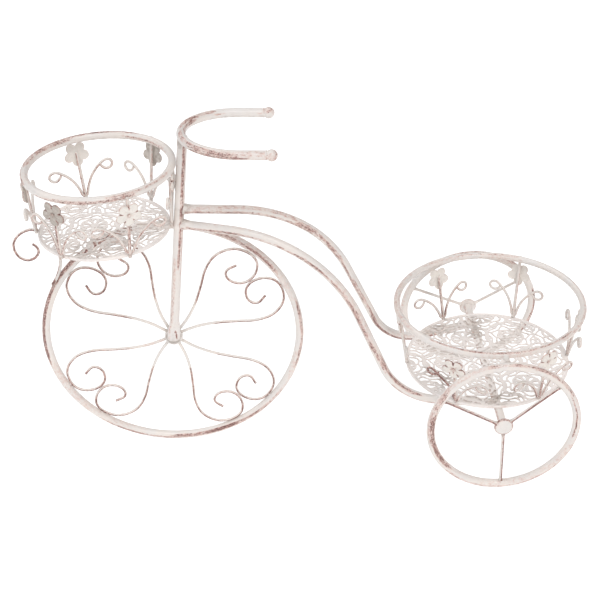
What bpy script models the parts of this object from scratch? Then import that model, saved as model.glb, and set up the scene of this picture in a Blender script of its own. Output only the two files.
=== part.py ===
"""Bicycle planter: a welded tube-and-wire tricycle ornament that carries two round pot baskets.

Frame while modelling: the front hub stands over X = 0, the wheels stand on Z = 0, the rear
wheels are towards +X and the near side is towards -Y. Everything hangs from one empty, which
is moved along X at the end so that the whole planter is centred over the origin.
All lengths are in metres.
"""
from math import atan2, cos, hypot, pi, radians, sin

import bmesh
import bpy
from mathutils import Matrix, Vector

# ---------------------------------------------------------------- driving dimensions
GAP = 0.0003                 # clearance kept between welded neighbours

TUBE_R = 0.006               # 12 mm tube: hoops and axle
FRAME_R = 0.0065             # 13 mm tube: handlebar and frame tubes
POST_R = 0.007               # 14 mm steering post
STEM_R = 0.00225             # 4.5 mm rod: flower stems, strut, rear spokes
WIRE_R = 0.002               # 4 mm wire: scroll spokes and the front curl
TENDRIL_R = 0.0018           # 3.6 mm wire: tendrils

FRONT_HOOP_R = 0.190         # centreline radius of the front wheel hoop
FRONT_HUB_Z = FRONT_HOOP_R + TUBE_R
FRONT_HUB_R, FRONT_HUB_T = 0.013, 0.0126

REAR_HOOP_R = 0.106
REAR_X = 0.4744              # wheelbase
REAR_Y = 0.1611              # half track
REAR_HUB_Z = REAR_HOOP_R + TUBE_R
REAR_HUB_R, REAR_HUB_T = 0.0137, 0.005
REAR_SPOKES = {"near": (149, 40, 270), "far": (154, 31, 270)}   # degrees from +X, up is 90
FAR_LEAN = radians(5.5)      # the far wheel leans in, until its hoop meets the basket's rim

POST_Y = -(TUBE_R + POST_R + GAP)     # the post passes the near side of the front hoop
POST_LEAN = 0.126                     # run per rise, towards the rear
POST_BOTTOM_Z, POST_TOP_Z = 0.1925, 0.5262

BAR_APEX_X, BAR_Z = 0.0405, 0.5333    # handlebar centreline at its front bend
BAR_HALF_WIDTH, BAR_BEND_X = 0.0684, 0.078
BAR_END_X, BAR_DROP = 0.1614, 0.065   # ball centre, fall per run
BALL_R, BALL_FLAT = 0.0081, 0.0055

FRONT_PLATE = dict(x=-0.0800, y=-0.0085, z=0.3926, r=0.0935)    # z is the underside
REAR_PLATE = dict(x=0.4775, y=0.0003, z=0.1189, r=0.1252)
PLATE_T = 0.0012
FRONT_RIM = dict(x=-0.0773, y=-0.0085, z=0.4876, r=0.1015, bar=0.0055)
REAR_RIM = dict(x=0.4769, y=0.0, z=0.2221, r=0.1387, bar=0.005)

FLOWER_R, FLOWER_T = 0.0187, 0.0012
# each set: name, azimuth in degrees, outward and sideways run per rise, height of the flower's
# centre, where the stem ends (beside the rim, under it or free), and the middle of its two
# tendrils' loops as (sideways, up). The front stems stand beside their plate, the rear ones on it.
FRONT_SETS = (("back_left", 111.1, 0.139, 0.035, 0.0672, "free", (-0.0424, 0.0442), (0.0400, 0.0427)),
              ("back_right", 49.7, 0.143, 0.009, 0.0685, "beside", (-0.0420, 0.0440), (0.0467, 0.0410)),
              ("right", -4.0, 0.048, 0.018, 0.0698, "free", (-0.0370, 0.0520), (0.0400, 0.0470)),
              ("front_right", -64.2, 0.137, 0.010, 0.0690, "beside", (-0.0459, 0.0526), (0.0471, 0.0443)),
              ("front_left", -123.1, 0.048, 0.061, 0.0703, "free", (-0.0349, 0.0516), (0.0437, 0.0505)),
              ("left", -178.0, 0.056, 0.010, 0.0646, "under", (-0.0540, 0.0450), (0.0430, 0.0500)))
REAR_SETS = (("back_left", 114.1, 0.203, 0.014, 0.0700, "free", (-0.0424, 0.0474), (0.0430, 0.0408)),
             ("back_right", 60.1, 0.230, 0.007, 0.0725, "beside", (-0.0370, 0.0463), (0.0384, 0.0493)),
             ("right", -2.7, 0.145, -0.031, 0.0637, "free", (-0.0394, 0.0530), (0.0510, 0.0430)),
             ("front_right", -62.1, 0.120, 0.012, 0.0730, "under", (-0.0467, 0.0429), (0.0470, 0.0445)),
             ("front_left", -121.4, 0.189, 0.024, 0.0700, "free", (-0.0369, 0.0518), (0.0438, 0.0433)),
             ("left", -179.7, 0.122, -0.045, 0.0740, "under", (-0.0410, 0.0460), (0.0410, 0.0460)))

# tendril, one side, as (sideways, up) from the foot of its stem; its loop is round TENDRIL_LOOP
TENDRIL = ((0.0, 0.0035), (0.0038, 0.006), (0.0062, 0.0145), (0.0128, 0.0285), (0.0215, 0.0388),
           (0.0310, 0.0462), (0.0385, 0.0490), (0.0445, 0.0465), (0.0463, 0.0412),
           (0.0425, 0.0367), (0.0362, 0.0375), (0.0345, 0.0405))
TENDRIL_LOOP = (0.0405, 0.0425)

# scroll spoke, in hoop radii: along the axis of its mirrored pair, and out from it
SCROLL = ((0.072, 0.0155), (0.200, 0.056), (0.330, 0.122), (0.460, 0.212), (0.580, 0.300),
          (0.700, 0.347), (0.810, 0.336), (0.893, 0.281), (0.938, 0.185), (0.930, 0.100),
          (0.870, 0.036), (0.785, 0.012), (0.712, 0.036), (0.668, 0.100), (0.672, 0.160),
          (0.712, 0.192), (0.790, 0.178))
PAIR_AXES = (36.0, -52.5, -143.5, 128.7)
PAIR_NAMES = ("upper_rear", "lower_rear", "lower_front", "upper_front")

# curl at the front of the basket, as (x, z)
CURL = ((-0.1710, 0.3886), (-0.1787, 0.3898), (-0.1853, 0.3914), (-0.1917, 0.3902), (-0.2001, 0.3864),
        (-0.2080, 0.3795), (-0.2128, 0.3710), (-0.2139, 0.3622), (-0.2115, 0.3533), (-0.2063, 0.3457),
        (-0.1967, 0.3417), (-0.1873, 0.3442), (-0.1813, 0.3504), (-0.1796, 0.3569), (-0.1818, 0.3632),
        (-0.1864, 0.3679))
CURL_Y = -0.0025
# strut under the front basket, as (x, z)
STRUT = ((-0.1485, 0.3920), (-0.1490, 0.3680), (-0.1497, 0.3450), (-0.1516, 0.3310),
         (-0.1556, 0.3195), (-0.1611, 0.3088), (-0.1668, 0.3002))
STRUT_Y = -0.0062

# frame tubes: bend points as (x, z, bend radius), and the sideways run
TUBE_FAR = dict(path=((0.0345, 0.4162, 0), (0.2232, 0.3735, 0.224), (0.3316, 0.1120, 0.085), (0.4744, 0.1120, 0)),
                start_x=0.0304, slope=0.2772)
TUBE_NEAR = dict(path=((0.0315, 0.3921, 0), (0.2256, 0.3747, 0.212), (0.3307, 0.1120, 0.082), (0.4744, 0.1120, 0)),
                 start_x=0.0304, slope=-0.2066)

CREAM = (0.80, 0.74, 0.69, 1.0)

# ---------------------------------------------------------------- scene set-up
for old in list(bpy.data.objects):
    bpy.data.objects.remove(old, do_unlink=True)

planter = bpy.data.collections.new("bicycle_planter")
cutters = bpy.data.collections.new("bicycle_planter_cutters")
for collection in (planter, cutters):
    bpy.context.scene.collection.children.link(collection)

origin = bpy.data.objects.new("planter_origin", None)
planter.objects.link(origin)


def paint(name, rgba=CREAM, roughness=0.5):
    material = bpy.data.materials.new(name + "_paint")
    material.use_nodes = True
    shader = material.node_tree.nodes["Principled BSDF"]
    shader.inputs["Base Color"].default_value = rgba
    shader.inputs["Roughness"].default_value = roughness
    shader.inputs["Metallic"].default_value = 0.0
    return material


def add(obj, name, smooth=True, parent=origin):
    """Names the object, files it, paints it and hangs it from the origin empty."""
    obj.name = name
    obj.data.name = name
    for collection in list(obj.users_collection):
        collection.objects.unlink(obj)
    planter.objects.link(obj)
    obj.data.materials.clear()
    obj.data.materials.append(paint(name))
    obj.parent = parent
    if obj.type == "MESH" and smooth:
        obj.data.shade_smooth()
        obj.data.set_sharp_from_angle(angle=radians(40))
    return obj


def from_bmesh(bm, name):
    mesh = bpy.data.meshes.new(name)
    bm.to_mesh(mesh)
    bm.free()
    obj = bpy.data.objects.new(name, mesh)
    planter.objects.link(obj)
    return obj


# ---------------------------------------------------------------- curve helpers
def smooth_path(points, steps):
    """A curve through the points (Catmull-Rom), with this many steps between two of them."""
    pts = [Vector(p) for p in points]
    pts = [2 * pts[0] - pts[1]] + pts + [2 * pts[-1] - pts[-2]]
    path = []
    for i in range(1, len(pts) - 2):
        a, b, c, d = pts[i - 1:i + 3]
        for k in range(steps):
            t = k / steps
            path.append(0.5 * (2 * b + (c - a) * t + (2 * a - 5 * b + 4 * c - d) * t * t
                               + (3 * b - a - 3 * c + d) * t ** 3))
    path.append(pts[-2])
    return path


def bent_path(corners, step=radians(9)):
    """Straight runs between the corners (x, z, radius), with an arc of that radius at each."""
    path = [Vector((corners[0][0], corners[0][1]))]
    for before, here, after in zip(corners, corners[1:], corners[2:]):
        p, q, r = (Vector(c[:2]) for c in (before, here, after))
        u, w = (q - p).normalized(), (r - q).normalized()
        turn = u.angle_signed(w)          # clockwise is positive
        reach = here[2] * abs(sin(turn / 2) / cos(turn / 2))
        start = q - u * reach
        count = max(2, round(abs(turn) / step))
        side = Vector((u.y, -u.x)) if turn > 0 else Vector((-u.y, u.x))
        centre = start + side * here[2]
        for k in range(count + 1):
            arm = start - centre
            angle = -turn * k / count
            path.append(centre + Vector((arm.x * cos(angle) - arm.y * sin(angle),
                                         arm.x * sin(angle) + arm.y * cos(angle))))
    path.append(Vector((corners[-1][0], corners[-1][1])))
    return path


def wire(name, path, radius, resolution=1, cyclic=False):
    """A round bar along the path: a poly curve with a bevel and filled caps."""
    curve = bpy.data.curves.new(name, "CURVE")
    curve.dimensions = "3D"
    curve.bevel_depth = radius
    curve.bevel_resolution = resolution
    curve.use_fill_caps = not cyclic
    spline = curve.splines.new("POLY")
    spline.points.add(len(path) - 1)
    for point, co in zip(spline.points, path):
        point.co = (*co, 1.0)
    spline.use_cyclic_u = cyclic
    spline.use_smooth = True
    obj = bpy.data.objects.new(name, curve)
    planter.objects.link(obj)
    return obj


def to_mesh(obj):
    """The evaluated curve as a closed mesh object that takes a Boolean."""
    bpy.context.view_layer.update()
    graph = bpy.context.evaluated_depsgraph_get()
    mesh = bpy.data.meshes.new_from_object(obj.evaluated_get(graph))
    bm = bmesh.new()
    bm.from_mesh(mesh)
    bmesh.ops.remove_doubles(bm, verts=bm.verts, dist=1e-6)
    bmesh.ops.recalc_face_normals(bm, faces=bm.faces)
    bm.to_mesh(mesh)
    bm.free()
    solid = bpy.data.objects.new(obj.name, mesh)
    planter.objects.link(solid)
    solid.matrix_world = obj.matrix_world
    bpy.data.objects.remove(obj, do_unlink=True)
    return solid


def as_cutter(obj, name):
    obj.name = name
    for collection in list(obj.users_collection):
        collection.objects.unlink(obj)
    cutters.objects.link(obj)
    obj.hide_render = True
    obj.display_type = "WIRE"
    obj.parent = origin
    return obj


def boolean(obj, other, operation):
    modifier = obj.modifiers.new(operation.lower() + "_" + other.name, "BOOLEAN")
    modifier.operation = operation
    modifier.solver = "EXACT"
    modifier.object = other
    return obj


def cylinder(name, radius, length, location, axis="Z", segments=24):
    bm = bmesh.new()
    bmesh.ops.create_cone(bm, cap_ends=True, segments=segments, radius1=radius, radius2=radius, depth=length)
    if axis == "Y":
        bmesh.ops.rotate(bm, verts=bm.verts, matrix=Matrix.Rotation(radians(90), 3, "X"))
    elif axis == "X":
        bmesh.ops.rotate(bm, verts=bm.verts, matrix=Matrix.Rotation(radians(90), 3, "Y"))
    obj = from_bmesh(bm, name)
    obj.location = location
    return obj


def hoop(name, radius, bar, location, upright, segments, sides=8):
    bpy.ops.mesh.primitive_torus_add(major_radius=radius, minor_radius=bar, major_segments=segments,
                                     minor_segments=sides, location=location,
                                     rotation=(radians(90) if upright else 0, 0, 0))
    return add(bpy.context.active_object, name)


# ---------------------------------------------------------------- front wheel
hoop("front_hoop", FRONT_HOOP_R, TUBE_R, (0, 0, FRONT_HUB_Z), True, 56)
add(cylinder("front_hub", FRONT_HUB_R, FRONT_HUB_T, (0, 0, FRONT_HUB_Z), "Y", 20), "front_hub")

hoop_clear = FRONT_HOOP_R - TUBE_R - WIRE_R - GAP      # furthest out that a spoke's centreline goes
pair_clear = WIRE_R + GAP / 2                          # nearest that it comes to its pair's axis
for axis_deg, where in zip(PAIR_AXES, PAIR_NAMES):
    for side, hand in ((1, "a"), (-1, "b")):
        path = []
        for u, v in smooth_path(SCROLL, 2):
            u, v = u * FRONT_HOOP_R, v * FRONT_HOOP_R
            if u > 0.3 * FRONT_HOOP_R:
                v = max(v, pair_clear)
            reach = hypot(u, v)
            if reach > hoop_clear:
                u, v = u * hoop_clear / reach, v * hoop_clear / reach
            angle = radians(axis_deg) + side * atan2(v, u)
            path.append((hypot(u, v) * cos(angle), 0, FRONT_HUB_Z + hypot(u, v) * sin(angle)))
        add(wire("scroll_spoke", path, WIRE_R), f"scroll_spoke_{where}_{hand}")

# ---------------------------------------------------------------- steering post


def post_x(z):
    return 0.0003 + POST_LEAN * (z - FRONT_HUB_Z)


post_heights = (POST_BOTTOM_Z, 0.200, 0.208, 0.216, 0.226, POST_TOP_Z)
post = to_mesh(wire("steering_post", [(post_x(z), POST_Y, z) for z in post_heights], POST_R, 3))
flat_y = -(FRONT_HUB_T / 2 + GAP) - 0.0040            # the lower end is pressed flat on the hub
bm = bmesh.new()
bm.from_mesh(post.data)
for vertex in bm.verts:
    flat = min(1.0, max(0.0, (0.226 - vertex.co.z) / 0.020))
    flat = flat * flat * (3 - 2 * flat)
    x = post_x(vertex.co.z)
    vertex.co.x = x + (vertex.co.x - x) * (1 + 0.28 * flat)
    half = 1 - flat * (1 - 0.0040 / POST_R)
    vertex.co.y = POST_Y + (flat_y - POST_Y) * flat + (vertex.co.y - POST_Y) * half
bm.to_mesh(post.data)
bm.free()
add(post, "steering_post")

# ---------------------------------------------------------------- handlebar


def bar_point(x, y):
    return (x, POST_Y + y, BAR_Z - BAR_DROP * (x - BAR_APEX_X))


bend = [bar_point(BAR_APEX_X + BAR_BEND_X * (1 - cos(radians(a))), BAR_HALF_WIDTH * sin(radians(a)))
        for a in range(-90, 91, 12)]
arm_end = BAR_END_X - BALL_FLAT - GAP
bar_path = [bar_point(arm_end, -BAR_HALF_WIDTH)] + bend + [bar_point(arm_end, BAR_HALF_WIDTH)]
add(wire("handlebar", bar_path, FRAME_R, 2), "handlebar")

for name, y in (("handlebar_ball_near", -BAR_HALF_WIDTH), ("handlebar_ball_far", BAR_HALF_WIDTH)):
    bm = bmesh.new()
    bmesh.ops.create_uvsphere(bm, u_segments=14, v_segments=10, radius=BALL_R)
    bmesh.ops.rotate(bm, verts=bm.verts, matrix=Matrix.Rotation(radians(90), 3, "Y"))
    flat = bmesh.ops.bisect_plane(bm, geom=bm.verts[:] + bm.edges[:] + bm.faces[:], dist=1e-7,
                                  plane_co=(-BALL_FLAT, 0, 0), plane_no=(-1, 0, 0), clear_outer=True)
    bmesh.ops.holes_fill(bm, edges=[e for e in flat["geom_cut"] if isinstance(e, bmesh.types.BMEdge)])
    bmesh.ops.recalc_face_normals(bm, faces=bm.faces)
    ball = from_bmesh(bm, name)
    ball.location = bar_point(BAR_END_X, y)
    ball.rotation_euler = (0, atan2(BAR_DROP, 1), 0)
    add(ball, name)

# ---------------------------------------------------------------- frame tubes, coped at both ends
post_cutter = as_cutter(cylinder("post_cope", POST_R + GAP, 0.12, (post_x(0.404), POST_Y, 0.404), "Z", 24), "post_cope")
post_cutter.rotation_euler = (0, atan2(POST_LEAN, 1), 0)
axle_cutter = as_cutter(cylinder("axle_cope", TUBE_R + GAP, 0.3, (REAR_X, 0, REAR_HUB_Z), "Y", 24), "axle_cope")
behind_post = as_cutter(cylinder("behind_post", 0.03, 0.12, (post_x(0.404) - 0.030, POST_Y, 0.404), "Z", 4), "behind_post")
behind_axle = as_cutter(cylinder("behind_axle", 0.03, 0.3, (REAR_X + 0.0212, 0, REAR_HUB_Z), "Y", 4), "behind_axle")
for cutter in (behind_post, behind_axle):
    bm = bmesh.new()
    bm.from_mesh(cutter.data)
    bmesh.ops.rotate(bm, verts=bm.verts, matrix=Matrix.Rotation(radians(45), 3, "Z" if cutter is behind_post else "Y"))
    bm.to_mesh(cutter.data)
    bm.free()
behind_post.location.x = post_x(0.404) - 0.0212
for name, tube in (("frame_tube_far", TUBE_FAR), ("frame_tube_near", TUBE_NEAR)):
    path = [(x, POST_Y + tube["slope"] * (x - tube["start_x"]), z) for x, z in bent_path(tube["path"])]
    obj = to_mesh(wire(name, path, FRAME_R, 2))
    for cutter in (post_cutter, axle_cutter):
        boolean(obj, cutter, "DIFFERENCE")
    boolean(obj, behind_post, "DIFFERENCE")
    boolean(obj, behind_axle, "DIFFERENCE")
    add(obj, name)

# ---------------------------------------------------------------- rear wheels and axle
for side, sign in (("near", -1), ("far", 1)):
    y = sign * REAR_Y
    lean = FAR_LEAN if side == "far" else 0.0
    z = REAR_HOOP_R * cos(lean) + TUBE_R              # the hoop stands on the ground
    ring = hoop(f"rear_hoop_{side}", REAR_HOOP_R, TUBE_R, (REAR_X, y, z), True, 40)
    ring.rotation_euler = (radians(90) + lean, 0, 0)
    add(cylinder("hub", REAR_HUB_R, REAR_HUB_T, (REAR_X, y, REAR_HUB_Z), "Y", 20), f"rear_hub_{side}")
    for number, angle in enumerate(REAR_SPOKES[side], 1):
        a = radians(angle)
        inner, outer = REAR_HUB_R + GAP + (0.0006 if lean else 0.0), REAR_HOOP_R - TUBE_R - 0.0004
        path = [(REAR_X + r * cos(a), y - r * sin(a) * sin(lean), z + r * sin(a) * cos(lean)) for r in (inner, outer)]
        add(wire("spoke", path, STEM_R, 2), f"rear_spoke_{side}_{number}")
rim_side = REAR_RIM["r"] + REAR_RIM["bar"] + GAP
hoop_side = REAR_Y - TUBE_R - GAP
add(wire("rim_tab", [(0.4757, -rim_side, 0.2203), (0.4757, -hoop_side, 0.2203)], 0.0027, 2), "rim_tab_near")
add(cylinder("axle", TUBE_R, 2 * (REAR_Y - REAR_HUB_T / 2 - GAP), (REAR_X, 0, REAR_HUB_Z), "Y", 16), "rear_axle")

# ---------------------------------------------------------------- baskets


def basket_plate(name, plate):
    """A round plate pierced by a six-fold pattern of lozenges."""
    disc = cylinder(name, plate["r"], PLATE_T, (plate["x"], plate["y"], plate["z"] + PLATE_T / 2), "Z", 48)
    bm = bmesh.new()
    for count, at, long, wide, first in ((6, 0.38, 0.17, 0.115, 30), (12, 0.72, 0.15, 0.115, 15)):
        for k in range(count):
            a = radians(first + 360 * k / count)
            made = bmesh.ops.create_cone(bm, cap_ends=True, segments=4, radius1=1, radius2=1, depth=PLATE_T * 4)
            bmesh.ops.transform(bm, verts=made["verts"], matrix=(
                Matrix.Rotation(a, 4, "Z") @ Matrix.Translation((at * plate["r"], 0, 0))
                @ Matrix.Diagonal((long * plate["r"], wide * plate["r"], 1, 1))))
    bmesh.ops.recalc_face_normals(bm, faces=bm.faces)
    holes = as_cutter(from_bmesh(bm, name + "_holes"), name + "_holes")
    holes.location = disc.location
    boolean(disc, holes, "DIFFERENCE")
    return add(disc, name)


def flower_mesh():
    """A stamped five-petal flower, slightly cupped, facing +Z with a petal along -Y."""
    bm = bmesh.new()
    made = bmesh.ops.create_circle(bm, cap_ends=True, cap_tris=True, segments=30, radius=0.42 * FLOWER_R,
                                   matrix=Matrix.Rotation(radians(-90), 4, "Z"))
    border = [e for e in bm.edges if e.is_boundary]
    grown = bmesh.ops.extrude_edge_only(bm, edges=border)["geom"]
    reach = (1.0, 0.985, 0.89, 0.56)
    for vertex in (g for g in grown if isinstance(g, bmesh.types.BMVert)):
        angle = atan2(vertex.co.y, vertex.co.x) + pi / 2
        step = round(angle / radians(12)) % 6
        step = min(step, 6 - step)
        vertex.co = vertex.co.normalized() * FLOWER_R * reach[step]
        vertex.co.z = 0.0004 if step == 3 else 0.0010
    for vertex in made["verts"]:
        if vertex.co.length > 0.1 * FLOWER_R:
            vertex.co.z = 0.0012
    bmesh.ops.recalc_face_normals(bm, faces=bm.faces)
    if sum(f.normal.z for f in bm.faces) < 0:
        bmesh.ops.reverse_faces(bm, faces=bm.faces)
    mesh = bpy.data.meshes.new("flower")
    bm.to_mesh(mesh)
    bm.free()
    return mesh


def tendril(loop):
    """The tendril's points, from the foot out, bent so that its loop lies round this point."""
    hand = 1 if loop[0] > 0 else -1
    du, dv = hand * loop[0] - TENDRIL_LOOP[0], loop[1] - TENDRIL_LOOP[1]
    bent = []
    for k, (u, v) in enumerate(TENDRIL):
        share = min(1.0, k / 6)
        bent.append(Vector((hand * (u + du * share), v + dv * share, 0)))
    return bent


def flower_sets(basket, plate, rim, sets, on_plate):
    foot_z = plate["z"] + PLATE_T
    foot_r = plate["r"] - 0.0010 if on_plate else plate["r"] + GAP + STEM_R + 0.00005
    for name, azimuth, lean, sway, flower_h, top, left_loop, right_loop in sets:
        a = radians(azimuth)
        out = Vector((cos(a), sin(a), 0))
        side = Vector((-sin(a), cos(a), 0))
        foot = Vector((plate["x"], plate["y"], foot_z)) + out * foot_r
        if top == "free":
            head = foot + (Vector((0, 0, 1)) + out * lean + side * sway) * (flower_h + 0.004)
        else:
            rise = (rim["z"] + 0.001 if top == "beside" else rim["z"] - rim["bar"] - 0.0008) - foot.z
            head = foot + (Vector((0, 0, 1)) + out * lean + side * sway) * rise
            for _ in range(4 if top == "beside" else 0):       # outwards until it clears the rim
                reach = hypot(head.x - rim["x"], head.y - rim["y"])
                head += out * (rim["r"] + rim["bar"] + STEM_R + 0.0005 - reach)
        up = (head - foot).normalized()
        foot_end = foot + up * 0.0009 if on_plate else foot - up * 0.0032
        face = (out - out.dot(up) * up).normalized()
        across = up.cross(face)
        spray = to_mesh(wire("spray", [foot_end, head], STEM_R, 2))
        both = tendril(left_loop)[::-1] + tendril(right_loop)[1:]
        path = [foot + across * p.x + up * p.y for p in both]
        pair = to_mesh(wire("pair", path, TENDRIL_R, 1))
        as_cutter(pair, f"{basket}_tendrils_{name}")
        boolean(spray, pair, "UNION")
        add(spray, f"{basket}_stem_{name}")
        flower = bpy.data.objects.new("flower", flower_mesh())
        planter.objects.link(flower)
        solid = flower.modifiers.new("thickness", "SOLIDIFY")
        solid.thickness = FLOWER_T
        solid.offset = -1
        centre = foot + up * (flower_h / up.z) + face * (STEM_R + GAP + FLOWER_T + 0.0003)
        flower.matrix_world = Matrix.Translation(centre) @ Matrix((across, up, face)).transposed().to_4x4()
        add(flower, f"{basket}_flower_{name}")


basket_plate("front_plate", FRONT_PLATE)
hoop("front_rim", FRONT_RIM["r"], FRONT_RIM["bar"], (FRONT_RIM["x"], FRONT_RIM["y"], FRONT_RIM["z"]), False, 44, 6)
flower_sets("front", FRONT_PLATE, FRONT_RIM, FRONT_SETS, False)
basket_plate("rear_plate", REAR_PLATE)
hoop("rear_rim", REAR_RIM["r"], REAR_RIM["bar"], (REAR_RIM["x"], REAR_RIM["y"], REAR_RIM["z"]), False, 48, 6)
flower_sets("rear", REAR_PLATE, REAR_RIM, REAR_SETS, True)

add(wire("front_strut", [(x, STRUT_Y, z) for x, z in STRUT], STEM_R, 1), "front_strut")
add(wire("front_curl", [(x, CURL_Y, z) for x, z in smooth_path(CURL, 2)], WIRE_R, 1), "front_curl")

# ---------------------------------------------------------------- centre it over the origin
bpy.context.view_layer.update()
graph = bpy.context.evaluated_depsgraph_get()
low, high = Vector((9, 9, 9)), Vector((-9, -9, -9))
for obj in planter.objects:
    if obj.type == "EMPTY":
        continue
    evaluated = obj.evaluated_get(graph)
    mesh = evaluated.to_mesh()
    for vertex in mesh.vertices:
        co = evaluated.matrix_world @ vertex.co
        low = Vector(map(min, low, co))
        high = Vector(map(max, high, co))
    evaluated.to_mesh_clear()
origin.location = (-(low.x + high.x) / 2, -(low.y + high.y) / 2, -low.z)
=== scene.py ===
"""Looks of the bicycle planter: rubbed cream paint on welded tube, wire and pierced sheet.

All lengths are in metres. Points are written in the frame in which the planter is designed, with
the front hub over X = 0, and SHIFT takes them to the frame of the solids.
"""

from math import atan2, cos, hypot, pi, radians, sin, sqrt

import bpy
import numpy as np
from mathutils import Matrix, Vector


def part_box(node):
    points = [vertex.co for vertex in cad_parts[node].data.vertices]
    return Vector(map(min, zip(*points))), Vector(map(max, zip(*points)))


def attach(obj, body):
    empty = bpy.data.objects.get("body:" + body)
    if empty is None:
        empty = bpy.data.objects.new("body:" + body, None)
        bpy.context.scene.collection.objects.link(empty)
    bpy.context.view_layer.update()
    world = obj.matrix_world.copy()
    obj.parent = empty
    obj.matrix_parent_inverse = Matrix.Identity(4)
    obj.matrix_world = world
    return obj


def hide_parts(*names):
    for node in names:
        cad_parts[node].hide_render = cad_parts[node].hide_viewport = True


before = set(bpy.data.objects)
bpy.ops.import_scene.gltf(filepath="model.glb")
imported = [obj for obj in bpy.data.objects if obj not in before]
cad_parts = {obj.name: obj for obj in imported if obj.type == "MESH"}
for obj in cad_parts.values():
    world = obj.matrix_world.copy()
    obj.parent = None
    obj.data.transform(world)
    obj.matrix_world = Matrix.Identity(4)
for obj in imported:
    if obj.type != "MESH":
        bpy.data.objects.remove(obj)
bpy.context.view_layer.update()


# ---------------------------------------------------------------- dimensions of the solids
GAP = 0.0003
TUBE_R, FRAME_R, POST_R = 0.006, 0.0065, 0.007
STEM_R, WIRE_R, TENDRIL_R = 0.00225, 0.002, 0.0018
FRONT_HOOP_R = 0.190
FRONT_HUB_Z = FRONT_HOOP_R + TUBE_R
SHIFT = np.mean([tuple(corner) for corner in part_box("front_hub")], axis=0) - (0.0, 0.0, FRONT_HUB_Z)
FRONT_HUB_R, FRONT_HUB_T = 0.013, 0.0126
REAR_HOOP_R, REAR_X, REAR_Y = 0.106, 0.4744, 0.1611
REAR_HUB_Z = REAR_HOOP_R + TUBE_R
REAR_HUB_R, REAR_HUB_T = 0.0137, 0.005
REAR_SPOKES = {"near": (149, 40, 270), "far": (154, 31, 270)}
FAR_LEAN = radians(5.5)
POST_Y = -(TUBE_R + POST_R + GAP)
POST_LEAN = 0.126
POST_BOTTOM_Z = 0.1925
BAR_APEX_X, BAR_Z = 0.0405, 0.5333
BAR_HALF_WIDTH, BAR_BEND_X = 0.0684, 0.078
BAR_END_X, BAR_DROP = 0.1614, 0.065
BALL_R = 0.0081
PLATE_T = 0.0012
FRONT_PLATE = dict(x=-0.0800, y=-0.0085, z=0.3926, r=0.0935)
REAR_PLATE = dict(x=0.4775, y=0.0003, z=0.1189, r=0.1252)
FRONT_RIM = dict(x=-0.0773, y=-0.0085, z=0.4876, r=0.1015, bar=0.0055)
REAR_RIM = dict(x=0.4769, y=0.0, z=0.2221, r=0.1387, bar=0.005)
FLOWER_R, FLOWER_T = 0.0187, 0.0012
FRONT_SETS = (("back_left", 111.1, 0.139, 0.035, 0.0672, "free", (-0.0424, 0.0442), (0.0400, 0.0427)),
              ("back_right", 49.7, 0.143, 0.009, 0.0685, "beside", (-0.0420, 0.0440), (0.0467, 0.0410)),
              ("right", -4.0, 0.048, 0.018, 0.0698, "free", (-0.0370, 0.0520), (0.0400, 0.0470)),
              ("front_right", -64.2, 0.137, 0.010, 0.0690, "beside", (-0.0459, 0.0526), (0.0471, 0.0443)),
              ("front_left", -123.1, 0.048, 0.061, 0.0703, "free", (-0.0349, 0.0516), (0.0437, 0.0505)),
              ("left", -178.0, 0.056, 0.010, 0.0646, "under", (-0.0540, 0.0450), (0.0430, 0.0500)))
REAR_SETS = (("back_left", 114.1, 0.203, 0.014, 0.0700, "free", (-0.0424, 0.0474), (0.0430, 0.0408)),
             ("back_right", 60.1, 0.230, 0.007, 0.0725, "beside", (-0.0370, 0.0463), (0.0384, 0.0493)),
             ("right", -2.7, 0.145, -0.031, 0.0637, "free", (-0.0394, 0.0530), (0.0510, 0.0430)),
             ("front_right", -62.1, 0.120, 0.012, 0.0730, "under", (-0.0467, 0.0429), (0.0470, 0.0445)),
             ("front_left", -121.4, 0.189, 0.024, 0.0700, "free", (-0.0369, 0.0518), (0.0438, 0.0433)),
             ("left", -179.7, 0.122, -0.045, 0.0740, "under", (-0.0410, 0.0460), (0.0410, 0.0460)))
TENDRIL = ((0.0, 0.0035), (0.0038, 0.006), (0.0062, 0.0145), (0.0128, 0.0285), (0.0215, 0.0388),
           (0.0310, 0.0462), (0.0385, 0.0488), (0.0448, 0.0466), (0.0468, 0.0412),
           (0.0430, 0.0362), (0.0368, 0.0354), (0.0318, 0.0388), (0.0288, 0.0432))
TENDRIL_LOOP = (0.0405, 0.0425)
SCROLL = ((0.072, 0.0155), (0.200, 0.056), (0.330, 0.122), (0.460, 0.212), (0.580, 0.300),
          (0.700, 0.347), (0.810, 0.336), (0.893, 0.281), (0.938, 0.185), (0.930, 0.100),
          (0.870, 0.036), (0.785, 0.012), (0.712, 0.036), (0.668, 0.100), (0.672, 0.160),
          (0.712, 0.192), (0.790, 0.178))
PAIR_AXES = (36.0, -52.5, -143.5, 128.7)
PAIR_NAMES = ("upper_rear", "lower_rear", "lower_front", "upper_front")
CURL = ((-0.1710, 0.3886), (-0.1787, 0.3898), (-0.1853, 0.3914), (-0.1917, 0.3902), (-0.2001, 0.3864),
        (-0.2080, 0.3795), (-0.2128, 0.3710), (-0.2139, 0.3622), (-0.2115, 0.3533), (-0.2063, 0.3457),
        (-0.1967, 0.3417), (-0.1873, 0.3442), (-0.1813, 0.3504), (-0.1796, 0.3569), (-0.1818, 0.3632),
        (-0.1864, 0.3679))
CURL_Y = -0.0025
STRUT = ((-0.1485, 0.3920), (-0.1490, 0.3680), (-0.1497, 0.3450), (-0.1516, 0.3310),
         (-0.1556, 0.3195), (-0.1611, 0.3088), (-0.1668, 0.3002))
STRUT_Y = -0.0062
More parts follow.
